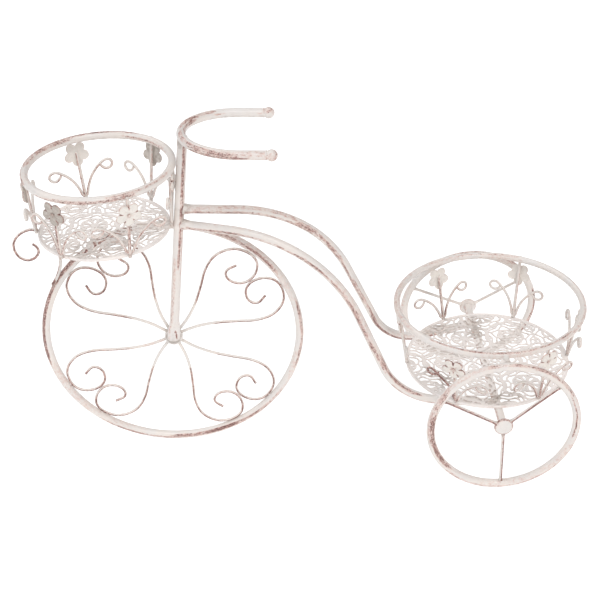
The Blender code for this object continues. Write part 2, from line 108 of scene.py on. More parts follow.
TUBE_FAR = dict(path=((0.0345, 0.4162, 0), (0.2232, 0.3735, 0.224), (0.3316, 0.1120, 0.085), (0.4744, 0.1120, 0)),
                start_x=0.0304, slope=0.2772)
TUBE_NEAR = dict(path=((0.0315, 0.3921, 0), (0.2256, 0.3747, 0.212), (0.3307, 0.1120, 0.082), (0.4744, 0.1120, 0)),
                 start_x=0.0304, slope=-0.2066)


def post_x(z):
    return 0.0003 + POST_LEAN * (z - FRONT_HUB_Z)


def bar_point(x, y):
    return (x, POST_Y + y, BAR_Z - BAR_DROP * (x - BAR_APEX_X))


# ---------------------------------------------------------------- small numeric helpers
def smooth01(x):
    x = np.clip(x, 0.0, 1.0)
    return x * x * (3 - 2 * x)


def field(p, scale, seed=0):
    """Smooth noise from -1 to 1 at the points p, from a lattice of hashed values."""
    q = np.asarray(p, float) * scale + 31.7 * seed + 5.3
    i = np.floor(q).astype(np.int64)
    f = q - i
    f = f * f * (3 - 2 * f)

    def value(dx, dy, dz):
        n = (i[:, 0] + dx) * 73856093 ^ (i[:, 1] + dy) * 19349663 ^ (i[:, 2] + dz) * 83492791
        n = (n ^ (n >> 13)) * 1274126177 & 0x7FFFFFFF
        n = (n ^ (n >> 16)) & 0xFFFF
        return n / 32767.5 - 1

    total = 0
    for dx in (0, 1):
        for dy in (0, 1):
            for dz in (0, 1):
                weight = (np.abs(1 - dx - f[:, 0]) * np.abs(1 - dy - f[:, 1]) * np.abs(1 - dz - f[:, 2]))
                total = total + value(dx, dy, dz) * weight
    return total


SHOW, ACROSS, OVER = (np.array(c) for c in ((-0.021, -0.843, 0.537), (0.998, -0.049, -0.037), (0.057, 0.536, 0.843)))


def side(across, over, turn):
    """The way out of a bar this many degrees from its show side, towards (across, over)."""
    way = across * ACROSS + over * OVER
    return cos(radians(turn)) * SHOW + sin(radians(turn)) * way / np.linalg.norm(way)


def nearness(co, place, reach):
    """How far inside the reach of a line of points each place lies."""
    points = [np.array(p, float) for p in place]
    best = np.full(len(co), 1e9)
    for a, b in zip(points, points[1:] or points):
        run = b - a
        t = np.clip((co - a) @ run / max(run @ run, 1e-12), 0, 1)
        best = np.minimum(best, np.linalg.norm(co - a - t[:, None] * run, axis=1))
    return 1.4 - best / (1.7 * reach)


def smooth_path(points, steps):
    """A curve through the points (Catmull-Rom), with this many steps between two of them."""
    pts = [np.array(p, float) for p in points]
    pts = [2 * pts[0] - pts[1]] + pts + [2 * pts[-1] - pts[-2]]
    path = []
    for i in range(1, len(pts) - 2):
        a, b, c, d = pts[i - 1:i + 3]
        for k in range(steps):
            t = k / steps
            path.append(0.5 * (2 * b + (c - a) * t + (2 * a - 5 * b + 4 * c - d) * t * t
                               + (3 * b - a - 3 * c + d) * t ** 3))
    path.append(pts[-2])
    return np.array(path)


def bent_path(corners, step=radians(2.5)):
    """Straight runs between the corners (x, z, radius), with an arc of that radius at each."""
    path = [Vector((corners[0][0], corners[0][1]))]
    for before, here, after in zip(corners, corners[1:], corners[2:]):
        p, q, r = (Vector(c[:2]) for c in (before, here, after))
        u, w = (q - p).normalized(), (r - q).normalized()
        turn = u.angle_signed(w)
        reach = here[2] * abs(sin(turn / 2) / cos(turn / 2))
        start = q - u * reach
        count = max(2, round(abs(turn) / step))
        side = Vector((u.y, -u.x)) if turn > 0 else Vector((-u.y, u.x))
        centre = start + side * here[2]
        for k in range(count + 1):
            arm = start - centre
            angle = -turn * k / count
            path.append(centre + Vector((arm.x * cos(angle) - arm.y * sin(angle),
                                         arm.x * sin(angle) + arm.y * cos(angle))))
    path.append(Vector((corners[-1][0], corners[-1][1])))
    return path


def resample(path, step):
    """The path with evenly spaced points about a step apart."""
    path = np.asarray(path, float)
    run = np.concatenate([[0], np.cumsum(np.linalg.norm(np.diff(path, axis=0), axis=1))])
    at = np.linspace(0, run[-1], max(2, int(round(run[-1] / step)) + 1))
    return np.stack([np.interp(at, run, path[:, k]) for k in range(path.shape[1])], 1)


# ---------------------------------------------------------------- mesh building
class Shape:
    """Vertices and faces of one piece, gathered from swept bars, turned parts and beads."""

    def __init__(self):
        self.co, self.faces, self.extra, self.ways, self.lay = [], [], [], [], []
        self.count = 0

    def add(self, co, faces, extra=0.0, ways=None, lay=None):
        co = np.asarray(co, float)
        self.faces += [tuple(int(i) + self.count for i in face) for face in faces]
        self.co.append(co)
        self.extra.append(np.full(len(co), extra) if np.isscalar(extra) else np.asarray(extra, float))
        self.ways.append(np.zeros((len(co), 3)) if ways is None else ways)
        self.lay.append(co.copy() if lay is None else lay)
        self.count += len(co)
        return self

    def rings(self, rings, closed=False, caps=True, extra=0.0, ways=None, lay=None):
        """Skins equal rings of points that follow one another."""
        n, m = len(rings), len(rings[0])
        faces = []
        for i in range(n if closed else n - 1):
            j = (i + 1) % n
            for k in range(m):
                l = (k + 1) % m
                faces.append((i * m + k, i * m + l, j * m + l, j * m + k))
        if caps and not closed:
            faces.append(tuple(range(m))[::-1])
            faces.append(tuple((n - 1) * m + k for k in range(m)))
        return self.add(np.concatenate(rings), faces, extra, ways, lay)

    def sweep(self, path, radius, sides=16, closed=False, wide=1.0, ref=None, cut=0.0004, extra=0.0):
        """A round bar along the path. Its ends are cut square and broken by a small chamfer."""
        path = np.asarray(path, float)
        radius = np.full(len(path), radius) if np.isscalar(radius) else np.asarray(radius, float)
        if not closed and cut:
            ahead = (path[1] - path[0]) / np.linalg.norm(path[1] - path[0])
            behind = (path[-2] - path[-1]) / np.linalg.norm(path[-2] - path[-1])
            path = np.concatenate([[path[0], path[0] + ahead * cut], path[1:-1], [path[-1] + behind * cut, path[-1]]])
            radius = np.concatenate([[radius[0] - cut, radius[0]], radius[1:-1], [radius[-1], radius[-1] - cut]])
            if not np.isscalar(extra):
                extra = np.concatenate([[extra[0], extra[0]], extra[1:-1], [extra[-1], extra[-1]]])
        if closed:
            tangent = np.roll(path, -1, 0) - np.roll(path, 1, 0)
        else:
            tangent = np.gradient(path, axis=0)
        tangent /= np.linalg.norm(tangent, axis=1)[:, None]
        start = np.array(ref, float) if ref is not None else (
            np.array((0.0, 0.0, 1.0)) if abs(tangent[0][2]) < 0.8 else np.array((0.0, -1.0, 0.0)))
        normal = start - tangent[0] * (start @ tangent[0])
        normal /= np.linalg.norm(normal)
        rings = []
        angles = np.arange(sides) * 2 * pi / sides
        for i in range(len(path)):
            normal = normal - tangent[i] * (normal @ tangent[i])
            normal /= np.linalg.norm(normal)
            other = np.cross(tangent[i], normal)
            rings.append(path[i] + radius[i] * (np.cos(angles)[:, None] * normal
                                                + wide * np.sin(angles)[:, None] * other))
        if not np.isscalar(extra):
            extra = np.repeat(extra, sides)
        run = np.concatenate([[0], np.cumsum(np.linalg.norm(np.diff(path, axis=0), axis=1))])
        if closed:
            run = run[-1] / 2 - np.abs(run - run[-1] / 2)
        around = np.stack([np.cos(angles), wide * np.sin(angles)], 1)
        lay = np.concatenate([np.column_stack([np.full(sides, at), r * around]) for at, r in zip(run, radius)])
        return self.rings(rings, closed, extra=extra, ways=np.repeat(tangent, sides, axis=0), lay=lay)

    def turned(self, profile, centre, axis, segments=40, extra=0.0):
        """A turned part: profile points are (radius, distance along the axis)."""
        axis = np.array(axis, float) / np.linalg.norm(axis)
        start = np.array((0.0, 0.0, 1.0)) if abs(axis[2]) < 0.8 else np.array((0.0, -1.0, 0.0))
        normal = start - axis * (start @ axis)
        normal /= np.linalg.norm(normal)
        other = np.cross(axis, normal)
        angles = np.arange(segments) * 2 * pi / segments
        around = np.cos(angles)[:, None] * normal + np.sin(angles)[:, None] * other
        rings = [np.array(centre) + axis * h + max(r, 0.00005) * around for r, h in profile]
        if not np.isscalar(extra):
            extra = np.repeat(extra, segments)
        return self.rings(rings, extra=extra)

    def bead(self, centre, size, axis=(0, 0, 1), flat=0.6, seed=1, segments=14, extra=0.0):
        """A lumpy weld bead: a flattened ball."""
        steps = 8
        profile = [(size * sin(pi * k / steps), -size * flat * cos(pi * k / steps)) for k in range(steps + 1)]
        start = self.count
        self.turned(profile, centre, axis, segments, extra)
        co = self.co[-1]
        away = co - np.array(centre)
        bump = 1 + 0.16 * field(co + 0.37 * seed, 260, seed)
        self.co[-1] = np.array(centre) + away * bump[:, None]
        return self


# one of these marks is painted shadow, in the gap between the post's foot and the front hub
JOINTS = []                # (point, reach, amount) of the dirt gathered round welds and crevices
pieces = {}


def add_joint(point, reach=0.006, amount=0.8):
    JOINTS.append((tuple(float(c) for c in point), reach, amount))


def finish_piece(obj, nodes, slot, material, streaks=(), stains=(), edge=None, general=0.3, soil=0.0, seed=0, extra=None,
                 ways=None, lay=None, smooth=42):
    """Gives a mesh object its wear values, its values of dirt and painted shade, its paint and its place in the
    assembly.

    A streak, or a stain of dirt and painted shade, is (direction, half angle, amount, place, reach): it lies on the
    faces that look that way, along the place's points, narrowing past their ends, or everywhere if the place is None.
    """
    mesh = obj.data
    mesh.shade_smooth()
    mesh.set_sharp_from_angle(angle=radians(smooth))
    n = len(mesh.vertices)
    co = np.empty(n * 3, np.float32)
    mesh.vertices.foreach_get("co", co)
    co = co.reshape(-1, 3).astype(float) - SHIFT
    no = np.empty(n * 3, np.float32)
    mesh.vertices.foreach_get("normal", no)
    no = no.reshape(-1, 3).astype(float)
    ways = np.zeros((n, 3)) if ways is None else ways

    def spread(marks, drift):
        total = np.zeros(n)
        for direction, half, amount, place, reach in marks:
            d = np.broadcast_to(np.array(direction, float), (n, 3))
            d = d - ways * np.sum(d * ways, 1)[:, None]
            d = d / np.maximum(np.linalg.norm(d, axis=1), 1e-6)[:, None]
            d = d + drift * field(co, 26, seed + 9)[:, None] * np.cross(d, np.where(np.any(ways, 1)[:, None], ways, (0.31, 0.67, 0.67)))
            d = d / np.linalg.norm(d, axis=1)[:, None]
            c = cos(radians(half))
            value = (np.sum(no * d, 1) - c) / (1 - c) * 1.7
            if place is not None:
                value = value - 1.8 * (1 - smooth01((nearness(co, place, reach) + 0.25 * field(co, 70, seed + 6)) / 1.05))
            total = np.maximum(total, amount * smooth01(value) * (0.94 + 0.22 * field(co, 75, seed + 4)))
        return total

    # general rubbing: long patches that wander round the bar
    turn = field(co, 9, seed + 3) * pi
    lean = field(co, 7, seed + 5) * 0.8
    way = np.stack([np.cos(turn) * np.cos(lean), np.sin(turn) * np.cos(lean), np.sin(lean)], 1)
    wear = general * smooth01(0.55 + 0.9 * field(co, 18, seed + 1)) * smooth01((np.sum(way * no, 1) + 0.3) / 1.0)
    wear = np.maximum(wear, spread(streaks, 0.16))
    # a painted shade over a whole piece, and stains, some of dirt and some painted shade
    dirt_and_shade = np.maximum(soil, spread(stains, 0.16))
    # painted shade: faces that look down are darkened, the more the further down they look
    dirt_and_shade = np.maximum(dirt_and_shade, 0.44 * smooth01((-no[:, 2] + 0.10) / 1.05))
    low, high = co.min(0) - 0.03, co.max(0) + 0.03
    for point, reach, amount in JOINTS:
        p = np.array(point)
        if (p < low).any() or (p > high).any():
            continue
        dirt_and_shade = np.maximum(dirt_and_shade, amount * np.exp(-(np.sum((co - p) ** 2, 1)) / reach ** 2))
    # walls of the openings: rubbed, and darkened as painted shade
    if edge is not None:
        wall = edge * (np.abs(no[:, 2]) < 0.75)
        wear = np.maximum(wear, 0.7 * wall)
        dirt_and_shade = np.maximum(dirt_and_shade, wall)
    if extra is not None:
        wear = np.maximum(wear, extra)
    for name, values in (("wear", wear), ("dirt_and_shade", dirt_and_shade)):
        layer = mesh.attributes.new(name, "FLOAT", "POINT")
        layer.data.foreach_set("value", np.clip(values, 0, 1).astype(np.float32))
    # places on the surface, measured along the bars, for grain that runs with them
    lay = co if lay is None else lay
    layer = mesh.attributes.new("lay", "FLOAT_VECTOR", "POINT")
    layer.data.foreach_set("vector", (lay + 0.713 * (seed % 37)).astype(np.float32).ravel())
    mesh.materials.clear()
    mesh.materials.append(material)
    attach(obj, "root")
    if nodes:
        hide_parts(*nodes)
    pieces[obj.name] = obj
    return obj


def make(name, shape, nodes, slot, material, **more):
    mesh = bpy.data.meshes.new(name)
    mesh.from_pydata((np.concatenate(shape.co) + SHIFT).tolist(), [], shape.faces)
    mesh.update()
    obj = bpy.data.objects.new(name, mesh)
    bpy.context.scene.collection.objects.link(obj)
    extra = np.concatenate(shape.extra)
    return finish_piece(obj, nodes, slot, material, extra=extra if extra.any() else None,
                        ways=np.concatenate(shape.ways), lay=np.concatenate(shape.lay), **more)


# ---------------------------------------------------------------- paint
def paint(name, cream, cool, roughness, speck=1.0, dirt_and_shade_gain=1.0, bump=1.0):
    """Cream paint, rubbed through in patches to a pinkish primer and dark metal, with dirt in its corners and painted
    shade underneath and in shaded places.
    """
    material = bpy.data.materials.new(name)
    material.use_nodes = True
    tree = material.node_tree
    nodes, links = tree.nodes, tree.links
    nodes.clear()

    def node(kind, **values):
        made = nodes.new(kind)
        for key, value in values.items():
            setattr(made, key, value)
        return made

    def plug(value, socket):
        if isinstance(value, bpy.types.NodeSocket):
            links.new(value, socket)
        else:
            socket.default_value = value

    def math(kind, a, b=0.0, c=None):
        made = node("ShaderNodeMath", operation=kind)
        plug(a, made.inputs[0])
        plug(b, made.inputs[1])
        if c is not None:
            plug(c, made.inputs[2])
        return made.outputs[0]

    def step(value, low, high):
        made = node("ShaderNodeMapRange", interpolation_type="SMOOTHSTEP")
        plug(value, made.inputs["Value"])
        made.inputs["From Min"].default_value = low
        made.inputs["From Max"].default_value = high
        return made.outputs["Result"]

    def mix(factor, a, b, kind="MIX"):
        made = node("ShaderNodeMix", data_type="RGBA", blend_type=kind)
        plug(factor, made.inputs["Factor"])
        for value, socket in ((a, made.inputs["A"]), (b, made.inputs["B"])):
            for candidate in (s for s in made.inputs if s.name == socket.name and s.type == "RGBA"):
                plug(value, candidate)
        return next(s for s in made.outputs if s.type == "RGBA")

    place = node("ShaderNodeTexCoord").outputs["Object"]
    lay = node("ShaderNodeAttribute", attribute_name="lay").outputs["Vector"]

    def noise(scale, detail=4.0, rough=0.6, stretch=None):
        vector = place
        if stretch:
            mapping = node("ShaderNodeMapping")
            mapping.inputs["Scale"].default_value = stretch
            links.new(lay, mapping.inputs["Vector"])
            vector = mapping.outputs["Vector"]
        made = node("ShaderNodeTexNoise")
        links.new(vector, made.inputs["Vector"])
        made.inputs["Scale"].default_value = scale
        made.inputs["Detail"].default_value = detail
        made.inputs["Roughness"].default_value = rough
        return made.outputs["Fac"]

    wear = node("ShaderNodeAttribute", attribute_name="wear").outputs["Fac"]
    dirt_and_shade = node("ShaderNodeAttribute", attribute_name="dirt_and_shade").outputs["Fac"]
    fine, medium, large = noise(620, 4.0, 0.70), noise(170, 4.0, 0.62), noise(34, 3.0, 0.5)
    brushed, specks = noise(560, 3.0, 0.65, (0.24, 1.0, 1.0)), noise(700, 3.0, 0.6, (0.55, 1.0, 1.0))
    m, sp = step(medium, 0.34, 0.66), step(specks, 0.36, 0.64)
    f = math("ADD", math("MULTIPLY", step(fine, 0.36, 0.64), 0.5), math("MULTIPLY", step(brushed, 0.36, 0.64), 0.5))

    def blend(a, b, part):
        """part of a and the rest of b"""
        return math("ADD", math("MULTIPLY", a, part), math("MULTIPLY", b, 1 - part))

    # the paint itself: brushed on in two tones, thin and pinkish where it is rubbed
    tone = mix(step(large, 0.35, 0.68), (*cream, 1), (*cool, 1))
    blush = step(math("ADD", wear, math("MULTIPLY", blend(f, m, 0.6), 0.80)), 0.58, 1.14)
    tone = mix(math("MULTIPLY", blush, 0.68), tone, (0.68, 0.475, 0.415, 1))
    # dirt gathered at the welds, and painted shade underneath, in the walls of openings, on shaded flowers and round
    # the front hub
    dirt_and_shade_mix = step(math("ADD", dirt_and_shade, math("MULTIPLY", math("SUBTRACT", m, 0.5), 0.35)), 0.08, 0.92)
    tone = mix(math("MULTIPLY", dirt_and_shade_mix, 0.72 * dirt_and_shade_gain), tone, (0.30, 0.245, 0.205, 1))
    # rubbed through to the primer, then to dark metal
    rub = step(math("ADD", wear, math("MULTIPLY", blend(f, m, 0.80), 0.90)), 1.08, 1.34)
    tone = mix(math("MULTIPLY", rub, 0.78), tone, (0.43, 0.222, 0.190, 1))
    dark = math("MULTIPLY", step(math("ADD", wear, math("MULTIPLY", blend(sp, f, 0.66), 0.90)), 1.26, 1.42), speck)
    tone = mix(math("MULTIPLY", dark, 0.88), tone, (0.135, 0.058, 0.050, 1))
    shader = node("ShaderNodeBsdfPrincipled")
    links.new(tone, shader.inputs["Base Color"])
    shine = math("ADD", roughness, math("ADD", math("MULTIPLY", rub, 0.14), math("MULTIPLY", medium, 0.10)))
    links.new(math("ADD", shine, math("MULTIPLY", dirt_and_shade_mix, 0.15)), shader.inputs["Roughness"])
    shader.inputs["Specular IOR Level"].default_value = 0.52
    height = math("SUBTRACT", math("ADD", math("MULTIPLY", fine, 0.30), math("MULTIPLY", medium, 0.45)),
                  math("ADD", math("MULTIPLY", rub, 0.55), math("MULTIPLY", dark, 0.30)))
    relief = node("ShaderNodeBump")
    relief.inputs["Strength"].default_value = 0.45 * bump
    relief.inputs["Distance"].default_value = 0.00022
    links.new(height, relief.inputs["Height"])
    links.new(relief.outputs["Normal"], shader.inputs["Normal"])
    output = node("ShaderNodeOutputMaterial")
    links.new(shader.outputs["BSDF"], output.inputs["Surface"])
    return material


CREAM, COOL = (0.775, 0.708, 0.660), (0.745, 0.700, 0.670)
TUBE_PAINT = paint("rubbed_cream_tube", CREAM, COOL, 0.30)
WIRE_PAINT = paint("rubbed_cream_wire", (0.765, 0.700, 0.650), (0.730, 0.685, 0.650), 0.42)
# the sheet's cream is painted lighter than the tubes', as painted light standing for the brighter light on its flat top
PLATE_PAINT = paint("rubbed_cream_sheet", (0.872, 0.802, 0.762), (0.842, 0.785, 0.755), 0.46)
FLOWER_PAINT = paint("rubbed_cream_petal", (0.815, 0.760, 0.705), (0.780, 0.735, 0.690), 0.44)

# ---------------------------------------------------------------- where dirt gathers, and one painted shadow
for z in (0.4040, 0.4162, 0.3921):
    add_joint((post_x(z) + 0.006, POST_Y, z), 0.009, 0.75)
add_joint((post_x(0.5262), POST_Y, 0.5262), 0.0085, 1.0)
add_joint((0, -0.0085, FRONT_HUB_Z), 0.012, 0.4)
# painted shadow in the gap between the flattened foot of the post and the front hub
add_joint((post_x(0.194), -0.0100, 0.1935), 0.0045, 0.7)
add_joint((REAR_X, 0.065, REAR_HUB_Z), 0.01, 0.8)


def circle(centre, radius, count, upright):
    a = np.arange(count) * 2 * pi / count
    flat = np.stack([np.cos(a), np.zeros(count), np.sin(a)] if upright else [np.cos(a), np.sin(a), np.zeros(count)], 1)
    return np.array(centre) + radius * flat


# ---------------------------------------------------------------- front wheel
def scroll_points(axis_deg, side, steps=10):
    clear, pair_clear = FRONT_HOOP_R - TUBE_R - WIRE_R - GAP, WIRE_R + GAP / 2
    path = []
    for u, v in smooth_path(SCROLL, steps):
        u, v = u * FRONT_HOOP_R, v * FRONT_HOOP_R
        if u > 0.3 * FRONT_HOOP_R:
            v = max(v, pair_clear)
        reach = hypot(u, v)
        if reach > clear:
            u, v = u * clear / reach, v * clear / reach
        angle = radians(axis_deg) + side * atan2(v, u)
        path.append((hypot(u, v) * cos(angle), 0, FRONT_HUB_Z + hypot(u, v) * sin(angle)))
    return np.array(path)


scrolls = {(where, hand): scroll_points(axis, side)
           for axis, where in zip(PAIR_AXES, PAIR_NAMES) for side, hand in ((1, "a"), (-1, "b"))}
welds = []
for path in scrolls.values():
    reach = np.hypot(path[:, 0], path[:, 2] - FRONT_HUB_Z)
    k = int(reach.argmax())
    out = (path[k] - np.array((0, 0, FRONT_HUB_Z))) / reach[k]
    welds.append(np.array((0, 0, FRONT_HUB_Z)) + out * (FRONT_HOOP_R - TUBE_R - 0.0004))
    add_joint(welds[-1], 0.0045, 0.40)
    add_joint(path[0], 0.006, 0.45)

hoop = Shape().sweep(circle((0, 0, FRONT_HUB_Z), FRONT_HOOP_R, 260, True), TUBE_R, 32, True, ref=(1, 0, 0))
for k, spot in enumerate(welds):
    hoop.bead(spot, 0.0026, (spot - np.array((0, 0, FRONT_HUB_Z))), 0.55, k, 12)
make("front_hoop_painted", hoop, ["front_hoop"], "tube_paint", TUBE_PAINT, seed=11, general=0.40, streaks=(
    (side(-0.65, -0.76, 14), 36, 0.70, ((0.050, 0, 0.374), (0.088, 0, 0.358), (0.151, 0, 0.306)), 0.014),
    (side(-0.6, -0.7, 20), 17, 1.12, ((0.121, 0, 0.335), (0.146, 0, 0.310)), 0.008),
    (side(-1.0, 0.1, 28), 42, 0.98, ((-0.174, 0, 0.272), (-0.187, 0, 0.230), (-0.190, 0, 0.185)), 0.016),
    (side(-0.8, 0.5, 26), 44, 0.88, ((-0.138, 0, 0.330), (-0.168, 0, 0.290)), 0.014),
    (side(-0.6, 0.6, 20), 60, 0.96, ((-0.118, 0, 0.347), (-0.085, 0, 0.366), (-0.055, 0, 0.378)), 0.014),
    (side(1.0, 0.1, 26), 28, 0.78, ((0.187, 0, 0.225), (0.190, 0, 0.155)), 0.018),
    (side(0.0, -0.5, 20), 38, 0.82, ((-0.002, 0, 0.006), (0.040, 0, 0.007), (0.080, 0, 0.019)), 0.014),
    (side(0.0, -0.6, 18), 34, 1.08, ((0.058, 0, 0.011), (0.080, 0, 0.019)), 0.009),
    (side(0.4, -0.7, 14), 14, 0.92, ((0.092, 0, 0.026), (0.118, 0, 0.042)), 0.012),
    (side(0.5, -0.8, 36), 30, 0.62, ((0.09, 0, 0.025), (0.150, 0, 0.070)), 0.018),
    (side(-0.3, -1.0, 50), 24, 0.74, ((-0.110, 0, 0.035), (-0.030, 0, 0.006)), 0.016)))

hub = Shape()
t, hub_r = FRONT_HUB_T / 2, FRONT_HUB_R + 0.0005
hub.turned([(0.0, -t), (0.0075, -t), (0.0095, -t + 0.0004), (0.0120, -t + 0.0008), (hub_r - 0.0003, -t + 0.0019),
            (hub_r, -t + 0.003), (hub_r, t - 0.003), (hub_r - 0.0003, t - 0.0019),
            (0.0120, t - 0.0008), (0.0095, t - 0.0004), (0.0075, t), (0.0, t)], (0, 0, FRONT_HUB_Z - 0.0014), (0, 1, 0), 48)
# painted shadow: a dark arc on the hub's near face, round the flattened end of the post
make("front_hub_painted", hub, ["front_hub"], "tube_paint", TUBE_PAINT, seed=12, general=0.5, stains=(
    ((0, -1, 0), 80, 0.85, [(0.0104 * sin(radians(a)), -t, FRONT_HUB_Z - 0.0095 * cos(radians(a))) for a in range(-120, 121, 20)],
     0.0014),))

for number, ((where, hand), path) in enumerate(scrolls.items()):
    inward = path[0] + (np.array((0, 0, FRONT_HUB_Z)) - path[0]) * 0.18
    path = np.concatenate([[inward], path])
    run = np.linspace(0, 1, len(path))
    radius = WIRE_R * (1 + 0.18 * np.exp(-run * 14)) * (1 - 0.10 * smooth01((run - 0.9) / 0.1))
    brown = 0.36 * smooth01((run - 0.16) / 0.30) + 0.40 * smooth01((run - 0.93) / 0.07)
    spoke = Shape().sweep(path, radius, 16, ref=(0, -1, 0), extra=brown)
    worn = path[int(0.17 * len(path))::6]
    make(f"scroll_spoke_{where}_{hand}_painted", spoke, [f"scroll_spoke_{where}_{hand}"], "wire_paint", WIRE_PAINT,
         seed=20 + number, general=0.40, streaks=((side(0.15, -1.0, 50), 46, 0.98, worn, 0.012),))

# ---------------------------------------------------------------- steering post
heights = np.concatenate([np.linspace(POST_BOTTOM_Z + 0.0014, 0.2005, 13), np.linspace(0.202, 0.234, 20),
                          np.linspace(0.238, 0.5285, 54)])
post = Shape().sweep([(post_x(z), POST_Y, z) for z in heights], POST_R, 36, ref=(1, 0, 0), cut=0.0006)
co = post.co[-1]
flat_y = -(FRONT_HUB_T / 2 + GAP) - 0.0040
flat = smooth01((0.234 - co[:, 2]) / 0.028)
x = post_x(co[:, 2])
tongue = np.clip(1 - (np.clip(0.2035 - co[:, 2], 0, None) / 0.0102) ** 4, 0.05, 1) ** 0.25
co[:, 0] = x + (co[:, 0] - x) * (1 + 0.38 * flat) * tongue
co[:, 1] = POST_Y + (flat_y - POST_Y) * flat + (co[:, 1] - POST_Y) * (1 - flat * (1 - 0.0040 / POST_R))
post.bead((post_x(0.5262) - 0.0003, POST_Y, 0.5268), 0.0066, (0, 0, 1), 0.35, 3, 20)



def on_post(*heights_there):
    return [(post_x(z), POST_Y, z) for z in heights_there]


make("steering_post_painted", post, ["steering_post"], "tube_paint", TUBE_PAINT, seed=41, general=0.40, streaks=(
    (side(1.0, 0.0, 30), 28, 0.86, on_post(0.508, 0.420), 0.011),
    (side(0.8, -0.5, 26), 22, 0.78, on_post(0.425, 0.335), 0.009),
    (side(1.0, 0.0, 58), 22, 0.54, on_post(0.40, 0.320), 0.011),
    (side(-0.8, -0.5, 30), 24, 0.60, on_post(0.322, 0.215), 0.012),
    (side(-1.0, 0.0, 72), 24, 0.58, on_post(0.520, 0.470), 0.013),
    (side(0.2, -1.0, 14), 60, 1.05, ((0.0026, -0.0165, 0.2290), (0.0032, -0.0150, 0.2230)), 0.0009),
    (side(0.2, -1.0, 10), 60, 1.20, ((0.0040, -0.0146, 0.2140), (0.0052, -0.0146, 0.2075), (0.0056, -0.0146, 0.1990)), 0.0009)),
    stains=(
    (side(-1.0, 0.0, 72), 26, 0.52, on_post(0.488, 0.428), 0.013),
    (side(-0.3, 0.0, 20), 70, 0.55, on_post(0.526, 0.520), 0.006)))

# ---------------------------------------------------------------- handlebar
bend = [bar_point(BAR_APEX_X + BAR_BEND_X * (1 - cos(radians(a))), BAR_HALF_WIDTH * sin(radians(a)))
        for a in range(-90, 91, 3)]
arm_x = BAR_END_X - 0.0045
bar_path = [bar_point(arm_x, -BAR_HALF_WIDTH)] + bend + [bar_point(arm_x, BAR_HALF_WIDTH)]
bar_path = resample(bar_path, 0.0028)
n = len(bar_path)
neck = 1 - 0.13 * np.exp(-(np.minimum(np.arange(n), n - 1 - np.arange(n)) / 1.2) ** 2)
for hand in (-1, 1):
    add_joint(bar_point(BAR_END_X - 0.0078, hand * BAR_HALF_WIDTH), 0.0040, 0.55)
make("handlebar_painted", Shape().sweep(bar_path, (FRAME_R - 0.00004) * neck, 32), ["handlebar"], "tube_paint", TUBE_PAINT,
     seed=51, general=0.36, streaks=(
         (side(-0.3, 0.9, 22), 28, 0.78, ((0.045, 0.004, 0.533), (0.055, 0.030, 0.533), (0.068, 0.044, 0.533)), 0.013),
         (side(0.9, 0.2, 50), 28, 0.76, ((0.047, 0.014, 0.533), (0.044, -0.016, 0.533)), 0.012),
         (side(0.1, -0.2, 10), 44, 0.72, ((0.050, -0.030, 0.533), (0.060, -0.060, 0.533), (0.105, -0.0817, 0.531)), 0.012),
         (side(-0.1, -1.0, 50), 22, 0.82, ((0.064, -0.066, 0.533), (0.088, -0.080, 0.53), (0.122, -0.0817, 0.53)), 0.009),
         (side(0.1, 0.3, 10), 50, 0.50, ((0.105, -0.0817, 0.531), (0.155, -0.0817, 0.528)), 0.012),
         (side(0.3, -0.9, 20), 20, 0.84, ((0.088, 0.0500, 0.531), (0.097, 0.0538, 0.53)), 0.005),
         (side(0.3, -0.9, 25), 20, 0.84, ((0.146, 0.0551, 0.528), (0.151, 0.0551, 0.528)), 0.004)), stains=(
         (side(0.0, -1.0, 70), 40, 0.60, ((0.043, -0.010, 0.533), (0.046, -0.022, 0.533)), 0.010),))
slope = np.array((1, 0, -BAR_DROP)) / hypot(1, BAR_DROP)
for name, y in (("near", -BAR_HALF_WIDTH), ("far", BAR_HALF_WIDTH)):
    centre = np.array(bar_point(BAR_END_X, y))
    ball = Shape()
    profile = [(0.0054, -0.0088), (0.0067, -0.0082), (0.0070, -0.0073), (0.0064, -0.0064), (0.0061, -0.0057)]
    profile += [(BALL_R * sin(a), -BALL_R * cos(a)) for a in np.linspace(0.85, pi - 0.01, 20)]
    ball.turned(profile, centre, slope, 32)
    make(f"handlebar_ball_{name}_painted", ball, [f"handlebar_ball_{name}"], "tube_paint", TUBE_PAINT, seed=55 + int(y > 0),
         general=0.60, streaks=((side(0.1, 1.0 if y > 0 else -0.8, 30), 60, 0.66 if y > 0 else 0.50, None, None),))

